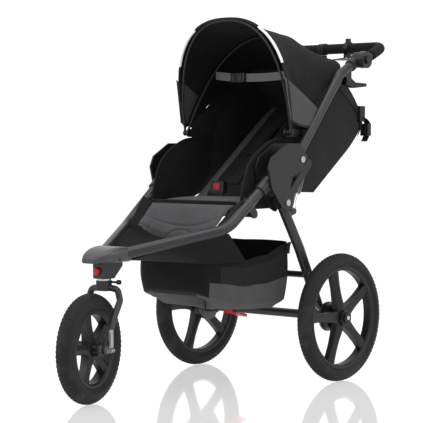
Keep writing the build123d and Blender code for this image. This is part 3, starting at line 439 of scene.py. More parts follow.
def clothSheet(name, rows, thickness=0.0016, material=None, loop=False):  # cloth through rows, its UV map in metres
    across = len(rows[0])
    points = [p for row in rows for p in row]
    wide = across if loop else across - 1
    faces = []
    for j in range(len(rows) - 1):
        for i in range(wide):
            k = (i + 1) % across
            faces.append((j * across + i, j * across + k, (j + 1) * across + k, (j + 1) * across + i))
    mesh = bpy.data.meshes.new(name)
    mesh.from_pydata(points, [], faces)
    widest = max(range(len(rows)), key=lambda j: sum((b - a).length for a, b in zip(rows[j], rows[j][1:])))
    us = [0.0]
    for a, b in zip(rows[widest], rows[widest][1:]):
        us.append(us[-1] + (b - a).length)
    us.append(us[-1] + (rows[widest][-1] - rows[widest][0]).length)
    middle = across // 2
    vs = [0.0]
    for first, second in zip(rows, rows[1:]):
        vs.append(vs[-1] + max((second[middle] - first[middle]).length, (second[0] - first[0]).length))
    chart = mesh.uv_layers.new(name="UVMap")
    spot = 0
    for j in range(len(rows) - 1):
        for i in range(wide):
            for u, v in ((us[i], vs[j]), (us[i + 1], vs[j]), (us[i + 1], vs[j + 1]), (us[i], vs[j + 1])):
                chart.data[spot].uv = (u, v)
                spot += 1
    piece = bpy.data.objects.new(name, mesh)
    scene.collection.objects.link(piece)
    if thickness:
        modify(piece, "SOLIDIFY", thickness=thickness, offset=0.0)
    smooth(piece, 60)
    if material:
        dress(piece, material)
    return piece


def ruled(first, second, across):  # rows from one line to another
    return [[a.lerp(b, i / (across - 1)) for i in range(across)] for a, b in zip(first, second)]


def webbing(name, points, width, side, material, thickness=0.0018, count=40):  # a strap, its width along side
    line = smoothLine(points, count)
    half = Vector(side).normalized() * width / 2000
    strap = clothSheet(name, ruled([p - half for p in line], [p + half for p in line], 5), thickness, material)
    return strap, sum((b - a).length for a, b in zip(line, line[1:]))


def blackStrap(name, points, width, side, body, *nodes, thickness=0.0018, count=40):  # webbing that rides on a body
    strap, length = webbing(name, points, width, side, extraFinishes["blackWebbing"], thickness, count)
    return finishPiece(strap, body, "black_fabric", *nodes), length


def wave(*values):  # a small even ripple for slack cloth
    return sum(math.sin(v) for v in values) / len(values)


def puff(piece, voxel=0.005, pressure=4.0, cap=0.008, levels=1):  # swells a closed pad as sewn cloth over foam
    activate(piece)
    piece.data.remesh_voxel_size = voxel
    bpy.ops.object.voxel_remesh()
    start = [v.co.copy() for v in piece.data.vertices]
    soft = piece.modifiers.new("soft", "CLOTH")
    soft.settings.quality = 4
    soft.settings.use_pressure = True
    soft.settings.uniform_pressure_force = pressure
    soft.settings.effector_weights.gravity = 0.0
    soft.point_cache.frame_start = 1
    soft.point_cache.frame_end = 20
    for moment in range(1, 21):
        scene.frame_set(moment)
    swollen = piece.evaluated_get(bpy.context.evaluated_depsgraph_get())
    ends = [v.co.copy() for v in swollen.data.vertices]
    piece.modifiers.remove(soft)
    for vertex, first, last in zip(piece.data.vertices, start, ends):
        step = last - first
        if step.length > cap:
            step = step.normalized() * cap
        vertex.co = first + step
    scene.frame_set(1)
    if levels:
        modify(piece, "SUBSURF", levels=levels, render_levels=levels)
    smooth(piece, 80)


def sewn(piece, chart, lines, depth, width):  # presses sewn channels into a pad along lines on its chart
    normals = [v.normal.copy() for v in piece.data.vertices]
    for vertex, normal in zip(piece.data.vertices, normals):
        s, t, front = chart(vertex.co)
        if not front:
            continue
        press = 0.0
        for line in lines:
            near = min(segmentGap((s, t), a, b) for a, b in zip(line, line[1:]))
            if near < 4 * width:
                press = max(press, math.exp(-(near / width) ** 2))
        if press > 0.01:
            vertex.co -= normal * (depth * press / 1000)
    piece.data.update()


def segmentGap(p, a, b):
    along, away = (b[0] - a[0], b[1] - a[1]), (p[0] - a[0], p[1] - a[1])
    share = max(0.0, min(1.0, (along[0] * away[0] + along[1] * away[1]) / max(along[0] ** 2 + along[1] ** 2, 1e-9)))
    return math.hypot(away[0] - along[0] * share, away[1] - along[1] * share)


def closedPad(name, place, across, along):  # place(u, v) gives the pad's lower and upper point
    lower, upper = [], []
    for j in range(along + 1):
        for i in range(across + 1):
            a, b = place(i / across, j / along)
            lower.append(a)
            upper.append(b)
    wide = across + 1
    total = len(lower)
    faces = []
    for j in range(along):
        for i in range(across):
            a = j * wide + i
            faces.append((a, a + wide, a + wide + 1, a + 1))
            faces.append((total + a, total + a + 1, total + a + wide + 1, total + a + wide))
    edge = [i for i in range(wide)] + [j * wide + across for j in range(1, along + 1)]
    edge += [along * wide + i for i in range(across - 1, -1, -1)] + [j * wide for j in range(along - 1, 0, -1)]
    for a, b in zip(edge, edge[1:] + edge[:1]):
        faces.append((a, b, total + b, total + a))
    mesh = bpy.data.meshes.new(name)
    mesh.from_pydata(lower + upper, [], faces)
    piece = bpy.data.objects.new(name, mesh)
    scene.collection.objects.link(piece)
    activate(piece)
    bpy.ops.object.mode_set(mode="EDIT")
    bpy.ops.mesh.select_all(action="SELECT")
    bpy.ops.mesh.normals_make_consistent(inside=False)
    bpy.ops.object.mode_set(mode="OBJECT")
    return piece


def tubeOver(name, line, radius, around=28, soften=0.004):  # a closed soft tube along a line
    rows = []
    total = len(line)
    for k, point in enumerate(line):
        ahead = (line[min(k + 1, total - 1)] - line[max(k - 1, 0)]).normalized()
        side = ahead.cross(Vector((0, -0.35, 0.94))).normalized()
        up = side.cross(ahead)
        near = min((point - line[0]).length, (point - line[-1]).length)
        size = radius if near > soften else radius * (0.8 + 0.2 * math.sqrt(near / soften))
        size *= 1 + 0.006 * wave(k * 0.9, k * 0.31)
        turns = [2 * math.pi * i / around for i in range(around)]
        rows.append([point + (side * math.cos(turn) + up * math.sin(turn)) * size for turn in turns])
    rows = [[line[0]] * around] + rows + [[line[-1]] * around]
    made = clothSheet(name, rows, 0, loop=True)
    activate(made)
    bpy.ops.object.mode_set(mode="EDIT")
    bpy.ops.mesh.select_all(action="SELECT")
    bpy.ops.mesh.remove_doubles(threshold=0.00005)
    bpy.ops.mesh.normals_make_consistent(inside=False)
    bpy.ops.object.mode_set(mode="OBJECT")
    smooth(made, 60)
    return made


sides = ((1, "Left"), (-1, "Right"))  # which way +x or -x, and the name's ending

# floor
bpy.ops.mesh.primitive_plane_add(size=40, location=(0, 0, -0.0005))
floor = bpy.context.object
floor.name = "studioFloor"
floorFinish = Finish("studioFloor", Base_Color=(view["floorTone"],) * 3, Roughness=0.9, Specular_IOR_Level=0.0,
                     Emission_Color=(1, 1, 1), Emission_Strength=view["floorGlow"])
gloss = floorFinish.node("BsdfGlossy", {}, {"Color": (1, 1, 1), "Roughness": 0.06})
blended = floorFinish.node("MixShader", {}, {0: view["floorGloss"]})
floorFinish.tree.links.new(floorFinish.shader.outputs[0], blended.inputs[1])
floorFinish.tree.links.new(gloss.outputs[0], blended.inputs[2])
floorFinish.tree.links.new(blended.outputs[0], floorFinish.output.inputs[0])
dress(floor, floorFinish.material)
world = bpy.data.worlds.new("studioWorld")
scene.world = world
world.use_nodes = True
sky = world.node_tree.nodes["Background"]
sky.inputs[0].default_value = (1, 1, 1, 1)
path = world.node_tree.nodes.new("ShaderNodeLightPath")  # a white backdrop, and a softer light from it
direct = world.node_tree.nodes.new("ShaderNodeMath")
direct.operation = "MAXIMUM"
seen = world.node_tree.nodes.new("ShaderNodeMapRange")
seen.inputs["To Min"].default_value = view["worldStrength"]
seen.inputs["To Max"].default_value = view["backdropStrength"]
world.node_tree.links.new(path.outputs["Is Camera Ray"], direct.inputs[0])
world.node_tree.links.new(path.outputs["Is Glossy Ray"], direct.inputs[1])
world.node_tree.links.new(direct.outputs[0], seen.inputs["Value"])
world.node_tree.links.new(seen.outputs[0], sky.inputs[1])
print("camera, lights and floor set")


# tyres
tyreShapes = {
    "rear_tyre_left": {"body": "rear_wheel_left", "radius": 0.2, "section": 0.0235, "blocks": 84},
    "rear_tyre_right": {"body": "rear_wheel_right", "radius": 0.2, "section": 0.0235, "blocks": 84},
    "front_tyre": {"body": "front_wheel", "radius": 0.159, "section": 0.028, "blocks": 66},
}


def makeTyre(node, shape):
    low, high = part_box(node)
    centre = (low + high) / 2
    axle = next(Vector(j["axis"]) for j in frame["joints"] if j["child"] == shape["body"])
    knob = 0.0012
    major, minor = shape["radius"] - shape["section"], shape["section"] - knob
    bpy.ops.mesh.primitive_torus_add(major_radius=major, minor_radius=minor,
                                     major_segments=shape["blocks"] * 2, minor_segments=24)
    tyre = bpy.context.object
    tyre.name = node.replace("_", " ").title().replace(" ", "") + "Rubber"

    def lean(face):  # the face's angle round the section, from the crown
        radius = math.hypot(face.center.x, face.center.y)
        return math.degrees(math.atan2(face.center.z, radius - major))

    pairs = shape["blocks"] * 2

    def isBlock(face):
        turn = math.atan2(face.center.y, face.center.x) % (2 * math.pi)
        column = int(turn / (2 * math.pi) * pairs)
        row = int(abs(lean(face)) // 15)
        return row < 4 and (column + row) % 2 == 0

    pickFaces(tyre, isBlock)
    bpy.ops.mesh.inset(thickness=0.0009, depth=0.0, use_individual=True)
    bpy.ops.mesh.extrude_region_shrink_fatten(TRANSFORM_OT_shrink_fatten={"value": knob})
    bpy.ops.object.mode_set(mode="OBJECT")
    pickFaces(tyre, lambda face: 84 < abs(lean(face)) < 100)  # the raised rib beside the rim
    bpy.ops.mesh.inset(thickness=0.0015, depth=0.0012)
    bpy.ops.object.mode_set(mode="OBJECT")
    turned = Vector((0, 0, 1)).rotation_difference(axle)
    tyre.matrix_world = Matrix.Translation(centre) @ turned.to_matrix().to_4x4()
    settled(tyre)
    dress(tyre, finishes["tyre_rubber"])
    smooth(tyre, 32)
    finishPiece(tyre, shape["body"], "tyre_rubber", node)
    return tyre


for node, shape in tyreShapes.items():
    makeTyre(node, shape)
print("tyres made")


# canopy
canopy = {
    "pivot": (-150.0, 775.0), "power": 2.45,
    "front": (-9.0, 223.4, 359.4, 95.0), "middle": (27.0, 223.4, 355.4, 38.0), "rear": (52.0, 216.4, 403.4, 296.0),
    "bend": 0.88, "hem": {"front": 24.0, "middle": 17.0, "rear": 288.0},
    "sag": 5.0, "ripple": 1.6, "piping": 4.3,
    "noseFold": (9.0, 0.1), "rearFold": (39.5, 0.08),  # tilt and width of the cloth's bends
    "seam": (-189, 946, 0.582), "greyFrom": 806,  # where the black cloth ends at the sides, and its slope
}


def bowPoint(bow, t, grow=0.0):  # a bow's outline, t from -1 at the right foot to 1 at the left one
    tilt, half, height, foot = canopy[bow]
    turn = max(0.0, 1 - abs(t) / canopy["bend"]) * math.pi / 2
    x = math.copysign((half + grow) * max(math.cos(turn), 0) ** (2 / canopy["power"]), t)
    rise = foot + (height + grow - foot) * math.sin(turn) ** (2 / canopy["power"])
    if abs(t) > canopy["bend"]:  # the straight side below the arch
        rise -= (foot - canopy["hem"][bow]) * (abs(t) - canopy["bend"]) / (1 - canopy["bend"])
    lean = math.radians(tilt)
    return at(x, canopy["pivot"][0] + rise * math.sin(lean), canopy["pivot"][1] + rise * math.cos(lean))


def canopyPoint(first, second, t, v, sag):
    point = bowPoint(first, t).lerp(bowPoint(second, t), v)
    core = at(0, canopy["pivot"][0], canopy["pivot"][1] + 90)
    inward = Vector((core.x - point.x, 0, core.z - point.z)).normalized()
    hang = 4 * v * (1 - v)
    slack = canopy["ripple"] * hang * wave(9 * t + 5 * v, 23 * t - 7 * v, 14 * v + 4 * t)
    return point + inward * ((sag * hang + slack) / 1000)


def canopyPanel(name, first, second, sag, rows, across=72):
    lines = []
    for j in range(rows + 1):
        lines.append([canopyPoint(first, second, 2 * i / across - 1, j / rows, sag) for i in range(across + 1)])
    return clothSheet(name, lines, 0.0016, finishes["black_fabric"]), lines


def bandPlane(tilt, width):  # where the cloth bends between two bows
    lean = math.radians(tilt)
    ahead = Vector((0, -math.cos(lean), math.sin(lean)))
    middle = at(0, *canopy["pivot"])
    return middle - ahead * width / 2, middle + ahead * width / 2


def flatSize(lines):
    across = max(sum((b - a).length for a, b in zip(row, row[1:])) for row in lines)
    along = max(sum((b[i] - a[i]).length for a, b in zip(lines, lines[1:])) for i in range(len(lines[0])))
    area = 0.0
    for a, b in zip(lines, lines[1:]):
        for i in range(len(a) - 1):
            area += (a[i + 1] - a[i]).cross(b[i] - a[i]).length / 2
            area += (b[i] - b[i + 1]).cross(a[i + 1] - b[i + 1]).length / 2
    return (round(across, 3), round(along, 3)), area


def declareSheet(lines):
    flat, area = flatSize(lines)


frontPanel, frontLines = canopyPanel("canopyFrontPanel", "front", "middle", canopy["sag"], 22)
frontPanel.data.materials.append(finishes["grey_fabric"])
seamY, seamZ, seamSlope = canopy["seam"]
for face in frontPanel.data.polygons:  # grey below the gusset's seam, inside too
    y, z = (face.center.y - axleY) * 1000, face.center.z * 1000
    if canopy["greyFrom"] < z < seamZ - (y - seamY) * seamSlope:
        face.material_index = 1
settled(frontPanel)
start, end = bandPlane(*canopy["noseFold"])
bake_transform(frontPanel)
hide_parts("canopy_front")
rearPanel, rearLines = canopyPanel("canopyRearPanel", "middle", "rear", 4.0, 18)
settled(rearPanel)
start, end = bandPlane(*canopy["rearFold"])
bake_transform(rearPanel)
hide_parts("canopy_rear")


def bead(name, line, radius, material, body, slot, around=12):  # a round piping along a line
    piping = tubeOver(name, line, radius, around, radius)
    dress(piping, material)
    return finishPiece(piping, body, slot)


for name, low, high, material, slot in (
    ("canopyTrimLeft", 0.30, 0.66, extraFinishes["reflective"], "grey_fabric"),
    ("canopyTrimRight", -0.66, -0.30, extraFinishes["reflective"], "grey_fabric"),
    ("canopyHemTop", -0.295, 0.295, extraFinishes["blackWebbing"], "black_fabric"),
    ("canopyHemLeft", 0.665, 0.995, extraFinishes["blackWebbing"], "black_fabric"),
    ("canopyHemRight", -0.995, -0.665, extraFinishes["blackWebbing"], "black_fabric"),
):
    line = [bowPoint("front", low + (high - low) * i / 50) for i in range(51)]
    bead(name, line, canopy["piping"] / 1000, material, "canopy_nose", slot)
declareSheet(frontLines)
declareSheet(rearLines)

gussetShape = {
    "upper": ((-189, 946), (-105, 897), (-24, 850)),
    "lower": ((-163, 812), (-112, 797), (-62, 797), (-24, 838)),
    "gap": 3.0,
}


def canopySide(y, z):  # the canopy's half width at a height beside its pivot
    _, half, height, foot = canopy["front"]
    out = math.hypot(y - canopy["pivot"][0], z - canopy["pivot"][1])
    share = max(0.0, min(1.0, (out - foot) / (height - foot))) ** (canopy["power"] / 2)
    return half * (1 - share * share) ** (1 / canopy["power"])


for side, tag in sides:
    upper, lower = ([at(side * (canopySide(p.y, p.z) + gussetShape["gap"]), p.y, p.z)
                     for p in smoothLine([(0, y, z) for y, z in gussetShape[edge]], 26)] for edge in ("upper", "lower"))
    rows = ruled(upper, lower, 12)
    middleBow = math.tan(math.radians(canopy["middle"][0]))
    cut = next(i for i, row in enumerate(rows)
               if (row[6].y - axleY) * 1000 - canopy["pivot"][0] > middleBow * (row[6].z * 1000 - canopy["pivot"][1]))
    for part, lines, bodies, (start, end) in (
        ("Front", rows[:cut + 1], ("canopy_middle", "canopy_nose"), bandPlane(*canopy["noseFold"])),
        ("Rear", rows[cut:], ("upper_frame", "canopy_middle"), bandPlane(*canopy["rearFold"])),
    ):
        gusset = clothSheet("canopyGusset" + part + tag, lines, 0.0016, finishes["grey_fabric"])
        rimLine = [row[-1] for row in lines] if part == "Front" else [row[-1] for row in lines] + [lines[-1][0]]
        binding, _ = webbing("gussetBinding" + part + tag, rimLine, 7, (0, 0.4, 0.9),
                             extraFinishes["blackWebbing"], 0.003)
        for piece, slot in ((gusset, "grey_fabric"), (binding, "black_fabric")):
            finishPiece(piece, None, slot)
            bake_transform(piece)
        declareSheet(lines)
print("canopy made")

# strap and buckle across the middle bow
crossStrap = {"reach": 168.0, "width": 26.0, "sag": 10, "out": 209, "buckleX": -70.0}
lean = math.radians(canopy["middle"][0])
strapY = canopy["pivot"][0] + crossStrap["out"] * math.sin(lean)
strapZ = canopy["pivot"][1] + crossStrap["out"] * math.cos(lean)
strapPoints = [at(x, strapY, strapZ - crossStrap["sag"] * (1 - (x / crossStrap["reach"]) ** 2))
               for x in (-168, -110, -50, 10, 60, 110, 168)]
strap, strapLength = webbing("canopyCrossStrap", strapPoints, crossStrap["width"], (0, 0, 1),
                             extraFinishes["greyWebbing"])
finishPiece(strap, "canopy_middle", "grey_fabric", "cross_strap")
bpy.ops.object.select_all(action="DESELECT")


def sideBuckle(name, centre, size, body, slot, material):  # a side-release buckle with two prongs and a web slot
    width, depth, height = size
    bpy.ops.object.select_all(action="DESELECT")
    bpy.ops.mesh.primitive_cube_add(size=1, location=centre, scale=(width, depth, height))
    buckle = bpy.context.object
    buckle.name = name
    settled(buckle)
    activate(buckle)
    bpy.ops.object.mode_set(mode="EDIT")
    bpy.ops.mesh.select_all(action="SELECT")
    bpy.ops.mesh.subdivide(number_cuts=5)
    bpy.ops.object.mode_set(mode="OBJECT")
    pickFaces(buckle, lambda f: abs(f.normal.y) > 0.9 and abs(abs(f.center.x - centre[0]) - width * 0.25) < width * 0.1
              and abs(f.center.z - centre[2]) < height * 0.3)
    bpy.ops.mesh.inset(thickness=0.0012, depth=-0.0016)
    bpy.ops.object.mode_set(mode="OBJECT")
    pickFaces(buckle, lambda f: abs(f.normal.z) > 0.9 and abs(f.center.x - centre[0]) < width * 0.18)
    bpy.ops.mesh.inset(thickness=0.0006, depth=-0.003)
    bpy.ops.object.mode_set(mode="OBJECT")
    modify(buckle, "BEVEL", width=0.0012, segments=2, limit_method="ANGLE")
    dress(buckle, material)
    smooth(buckle, 40)
    return finishPiece(buckle, body, slot)


buckleAt = at(crossStrap["buckleX"], strapY - 4, strapZ - 9)
canopyBuckle = sideBuckle("canopyStrapBuckle", tuple(buckleAt), (0.058, 0.011, 0.03), "canopy_middle", "black_plastic",
                          finishes["black_plastic"])

# curtains that close the sides and the back under the canopy
curtain = {
    "top": ((183, 128, 986), 0.985),
    "front": ((183.6, -172, 562), (183.6, -158, 604), (183.8, -138, 680), (185.5, -150, 742), (186, -157, 790),
              (197, -100, 829), (212, 0, 903), (213, 77, 958), (186, 122, 984)),
    "rear": ((184.2, -84, 592), (184.2, -62, 690), (184.2, -40, 792), (184.2, 10, 862), (184.2, 60, 926),
             (184.2, 125, 987)),
}
(topX, topY, topZ), reach = curtain["top"]
lines = ruled([bowPoint("rear", reach * (i / 30 - 1)) for i in range(61)],
              [at(topX * (i / 30 - 1), topY, topZ) for i in range(61)], 9)
for i, row in enumerate(lines):
    for k, p in enumerate(row):
        p.y += 0.003 * wave(i / 2.2, i / 3.7 + k / 3) * math.sin(math.pi * k / 8)
rearCurtain = clothSheet("canopyRearCurtain", lines, 0.0014, finishes["black_fabric"])
finishPiece(rearCurtain, "upper_frame", "black_fabric")
declareSheet(lines)
for side, tag in sides:
    lines = ruled(smoothLine([at(side * x, y, z) for x, y, z in curtain["front"]], 50),
                  smoothLine([at(side * x, y, z) for x, y, z in curtain["rear"]], 50), 12)
    for i, row in enumerate(lines):
        for k, p in enumerate(row):
            p.x += side * 0.001 * wave(i / 2.6 + k / 3, i / 4.1) * math.sin(math.pi * k / 11)
    sideCurtain = clothSheet("sideCurtain" + tag, lines, 0.0014, finishes["black_fabric"])
    finishPiece(sideCurtain, "upper_frame", "black_fabric")
    declareSheet(lines)
print("curtains made")

# seat pan
seat = {"half": 176.0, "front": -350.0, "rear": -161.0, "low": 543.0, "high": 561.0, "crown": 13.0}


def seatPoint(u, v):
    x = (2 * u - 1) * seat["half"]
    y = seat["front"] + v * (seat["rear"] - seat["front"])
    edge = (1 - abs(2 * u - 1) ** 3) * (1 - abs(2 * v - 1) ** 5)
    pinch = 3.5 * (1 - edge)
    return at(x, y, seat["low"] + pinch), at(x, y, seat["high"] - pinch + seat["crown"] * edge)


seatPad = closedPad("seatPad", seatPoint, 36, 20)
puff(seatPad, 0.005, 4.0, 0.004)


def seatChart(co):
    return co.x * 1000, (co.y - axleY) * 1000, co.z * 1000 > 552


def arc(points, count=24):
    return [(p.x, p.y) for p in smoothLine([Vector((a, b, 0)) for a, b in points], count)]


sewn(seatPad, seatChart, [
    arc([(-176, -318), (-90, -296), (0, -288), (90, -296), (176, -318)]),
    arc([(-150, -176), (0, -168), (150, -176)]),
    arc([(-52, -296), (-44, -240), (-52, -184)]), arc([(52, -296), (44, -240), (52, -184)]),
], 3.2, 4.0)
dress(seatPad, extraFinishes["padGrey"])
finishPiece(seatPad, "main_frame", "grey_fabric", "seat_pan")

# calf panel and footwell
calf = {
    "topHalf": 169.0, "lowHalf": 155.0, "top": (-352.5, 560.0), "low": (-412.0, 436.0),
    "rise": (4.0, 62.0), "thick": 15.0,
}


def slingPoint(v, x, lift, stations):  # a point of cloth slung between side edges, stations from top to bottom
    spot = min(int(v * (len(stations) - 1)), len(stations) - 2)
    share = v * (len(stations) - 1) - spot
    (aPlace, aSlope, aHalf, aRise), (bPlace, bSlope, bHalf, bRise) = stations[spot], stations[spot + 1]

    def one(place, slope, half, rise):
        size = math.hypot(*slope)
        up = rise * abs(x) ** 2.5 + lift
        return Vector((x * half, place[0] + up * slope[0] / size, place[1] + up * slope[1] / size))

    point = one(aPlace, aSlope, aHalf, aRise).lerp(one(bPlace, bSlope, bHalf, bRise), share)
    return at(*point)


calfStations = [(calf["top"], (-1.0, 0.25), calf["topHalf"], calf["rise"][0]),
                (calf["low"], (-1.0, 0.85), calf["lowHalf"], calf["rise"][1])]


def calfPoint(u, v):
    x = 2 * u - 1
    edge = (1 - abs(x) ** 8) * (1 - abs(2 * v - 1) ** 8)
    return (slingPoint(v, x, 3.0 - 1.5 * edge, calfStations),
            slingPoint(v, x, 3.0 + 1.5 + (calf["thick"] - 4.5) * edge, calfStations))


calfPad = closedPad("calfPad", calfPoint, 34, 16)
puff(calfPad, 0.005, 4.0, 0.004)


def calfChart(co):
    return co.x * 1000, (0.560 - co.z) * 1000, True


sewn(calfPad, calfChart, [
    arc([(-150, 40), (-70, 62), (0, 68), (70, 62), (150, 40)]),
    arc([(-128, 20), (-116, 52), (-120, 88)]), arc([(128, 20), (116, 52), (120, 88)]),
    arc([(-62, 124), (-46, 92), (0, 80), (46, 92), (62, 124)]),
], 2.6, 3.6)
dress(calfPad, extraFinishes["padGrey"])
finishPiece(calfPad, "main_frame", "grey_fabric", "calf_panel")
bandPoints = [at(x, -354.5 - 1.5 * (abs(x) / 170) ** 2, 562.5) for x in (-170, -110, -50, 0, 50, 110, 170)]
edgeBand, length = blackStrap("seatFrontBinding", bandPoints, 13, (0, -0.5, 0.86), "main_frame", thickness=0.003)

footStations = [((-397.0, 452.0), (-1.0, 0.85), 154.0, 62.0), ((-430.5, 439.0), (-1.0, 0.85), 157.0, 64.0),
                ((-500.0, 432.0), (-0.6, 0.95), 138.0, 46.0), ((-560.0, 430.0), (-0.12, 1.0), 113.5, 32.0),
                ((-664.0, 412.0), (0.0, 1.0), 48.0, 16.0)]
footLines = [[slingPoint(j / 26, 2 * i / 30 - 1, 1.5 * wave(7 * i / 30 + j / 3, j / 2), footStations)
              for i in range(31)] for j in range(27)]
footSling = clothSheet("footwellSling", footLines, 0.0025, finishes["black_fabric"])
finishPiece(footSling, "main_frame", "black_fabric", "footwell")
declareSheet(footLines)
legWell = {
    "outer": ((184, -466, 484), (194, -428, 508), (201, -392, 543), (207, -360, 576)),
    "inner": ((153, -457, 470), (158, -425, 500), (164, -390, 530), (168, -354, 560)),
}
for side, tag in sides:
    outer, inner = (smoothLine([at(side * x, y, z) for x, y, z in legWell[edge]], 24) for edge in ("outer", "inner"))
    lines = ruled(outer, inner, 6)
    strip = clothSheet("legWellSide" + tag, lines, 0.0018, finishes["black_fabric"])
    finishPiece(strip, "main_frame", "black_fabric")
    declareSheet(lines)

# side wings
wingShape = {
    "x": 181.2,
    "front": ((-349, 545), (-341, 600), (-302, 688), (-202, 750), (-98, 758)),
    "rear": ((-173, 545), (-172, 562), (-160, 602), (-132, 678), (-100, 752)),
}
for side, tag in sides:
    front, rear = (smoothLine([at(side * wingShape["x"], y, z) for y, z in wingShape[edge]], 30)
                   for edge in ("front", "rear"))
    lines = ruled(front, rear, 16)
    for j, row in enumerate(lines):
        for i, p in enumerate(row):
            p.x += side * 0.0012 * wave(i / 2.3 + j / 4, j / 3) * math.sin(math.pi * i / 15)
    wing = clothSheet("seatWing" + tag, lines, 0.0016, finishes["black_fabric"])
    finishPiece(wing, "main_frame", "black_fabric", *(["seat_sides"] if side == 1 else []))
    hem, _ = blackStrap("wingHem" + tag, front, 8, (side * 0.15, 0.5, -0.6), "main_frame", thickness=0.003)
    declareSheet(lines)

# seat back
back = {"angle": 38.0, "start": 9.0, "length": 498.0, "half": 177.0, "low": 3.0, "high": 19.0, "bight": (-150.0, 548.0)}
backCos, backSin = math.cos(math.radians(back["angle"])), math.sin(math.radians(back["angle"]))


def backPlace(x, distance, rise):
    y, z = back["bight"]
    return at(x, y + distance * backCos - rise * backSin, z + distance * backSin + rise * backCos)


def backPoint(u, v):
    side = 2 * u - 1
    distance = back["start"] + v * (back["length"] - back["start"])
    taper = 1 - 0.1 * max(0.0, (v - 0.82) / 0.18) ** 2
    edge = (1 - abs(side) ** 8) * (1 - abs(2 * v - 1) ** 14)
    bolster = 3.0 * math.exp(-((abs(side) - 0.84) / 0.1) ** 2)
    pinch = 4 * (1 - edge)
    x = side * back["half"] * taper
    crown = back["high"] - pinch + (2 + bolster) * edge
    return backPlace(x, distance, back["low"] + pinch), backPlace(x, distance, crown)


backPad = closedPad("seatBackPad", backPoint, 40, 54)
puff(backPad, 0.006, 4.0, 0.004)


def backChart(co):
    y, z = (co.y - axleY) * 1000 - back["bight"][0], co.z * 1000 - back["bight"][1]
    return co.x * 1000, y * backCos + z * backSin, -y * backSin + z * backCos > 11


sewn(backPad, backChart, [
    [(-132, 20), (-132, 480)], [(132, 20), (132, 480)],
    arc([(-130, 120), (0, 108), (130, 120)]), arc([(-130, 210), (0, 198), (130, 210)]),
    arc([(-130, 392), (0, 378), (130, 392)]),
], 3.2, 4.5)
dress(backPad, extraFinishes["padBlack"], extraFinishes["padGrey"])
for face in backPad.data.polygons:
    s, t, front = backChart(face.center)
    face.material_index = 1 if abs(s) > 133 and front else 0
finishPiece(backPad, "back", "black_fabric", "seat_back")

# harness
harness = {"x": 62.0, "strapWidth": 38.0, "padWidth": 54.0, "padStart": 210.0, "padEnd": 360.0, "rise": 27.5}
for side, tag in sides:
    x = side * harness["x"]
    points = [backPlace(x * (1 - 0.25 * (1 - i / 8) ** 2), 70 + i * 42.5, harness["rise"] + 1.5 * math.sin(i * 1.3))
              for i in range(9)]
    strap, length = blackStrap("shoulderStrap" + tag, points, harness["strapWidth"], (1, 0, 0), "back",
                               *(["harness"] if side == 1 else []))

    def shoulderPoint(u, v, x=x):
        edge = (1 - abs(2 * u - 1) ** 5) * (1 - abs(2 * v - 1) ** 10)
        distance = harness["padStart"] + v * (harness["padEnd"] - harness["padStart"])
        across = x + (u - 0.5) * (harness["padWidth"] - 3)
        return backPlace(across, distance, 30.5), backPlace(across, distance, 32.0 + 3.5 * edge)

    pad = closedPad("shoulderPad" + tag, shoulderPoint, 12, 24)
    puff(pad, 0.004, 4.0, 0.003, 1)
    dress(pad, extraFinishes["padBlack"])
    finishPiece(pad, "back", "black_fabric")
print("seat made")

# cover behind the seat back
cover = {
    "half": 184.5, "corner": 22.0, "puff": 5.0, "pipingX": 187.5,
    "strap": ((100, 956), (170, 905), (228, 858), (256, 812), (240, 770)),
    "tail": ((191, 248, 826), (194, 270, 818), (196, 284, 800), (195, 280, 772), (192, 268, 748)),
    "edge": ((-84, 590), (-62, 690), (-40, 792), (10, 862), (60, 926), (126, 988)),
    "outside": ((20, 587), (130, 668), (222, 738), (272, 800), (253, 866), (196, 930), (130, 988)),
}
coverEdge = smoothLine([at(0, y, z) for y, z in cover["edge"]], 41)
coverOutside = smoothLine([at(0, y, z) for y, z in cover["outside"]], 41)
coverRows = []
for j, (inner, outer) in enumerate(zip(coverEdge, coverOutside)):
    v = j / 40
    run = (outer - inner).length
    corner = min(cover["corner"] / 1000, run * 0.45)
    half = cover["half"] / 1000
    row = []
    for i in range(15):  # along the side
        share = i / 14
        bulge = cover["puff"] / 1000 * math.sin(math.pi * share) * math.sin(math.pi * v) * 0.7
        ripple = 0.0013 * wave(j / 2.1 + i / 2, j / 3.3) * math.sin(math.pi * share)
        point = inner.lerp(outer - (outer - inner).normalized() * corner if run > 0.002 else outer, share)
        row.append(Vector((half + bulge * 0.3 + ripple, point.y, point.z)))
    ahead = (outer - inner).normalized() if run > 0.002 else Vector((0, 0.6, 0.8))
    for i in range(1, 7):  # round the corner
        turn = math.pi / 2 * i / 6
        point = outer - ahead * corner * (1 - math.sin(turn))
        row.append(Vector((half - corner * (1 - math.cos(turn)), point.y, point.z)))
    for i in range(1, 14):  # half way across the rear
        share = i / 14
        sag = -0.004 * math.sin(math.pi * (0.5 * share)) * math.sin(math.pi * v)
        ripple = 0.0016 * wave(j / 2.7 + i / 1.7, j / 1.9 - i / 4) * share
        slack = sag + ripple
        row.append(Vector(((half - corner) * (1 - share), outer.y + slack * ahead.y, outer.z + slack * ahead.z)))
    middle = row[-1].copy()
    middle.x = 0
    coverRows.append(row + [middle] + [Vector((-p.x, p.y, p.z)) for p in reversed(row)])
backCover = clothSheet("backCover", coverRows, 0.0018, extraFinishes["coverCloth"])
finishPiece(backCover, "upper_frame", "black_fabric", "back_cover")
declareSheet(coverRows)
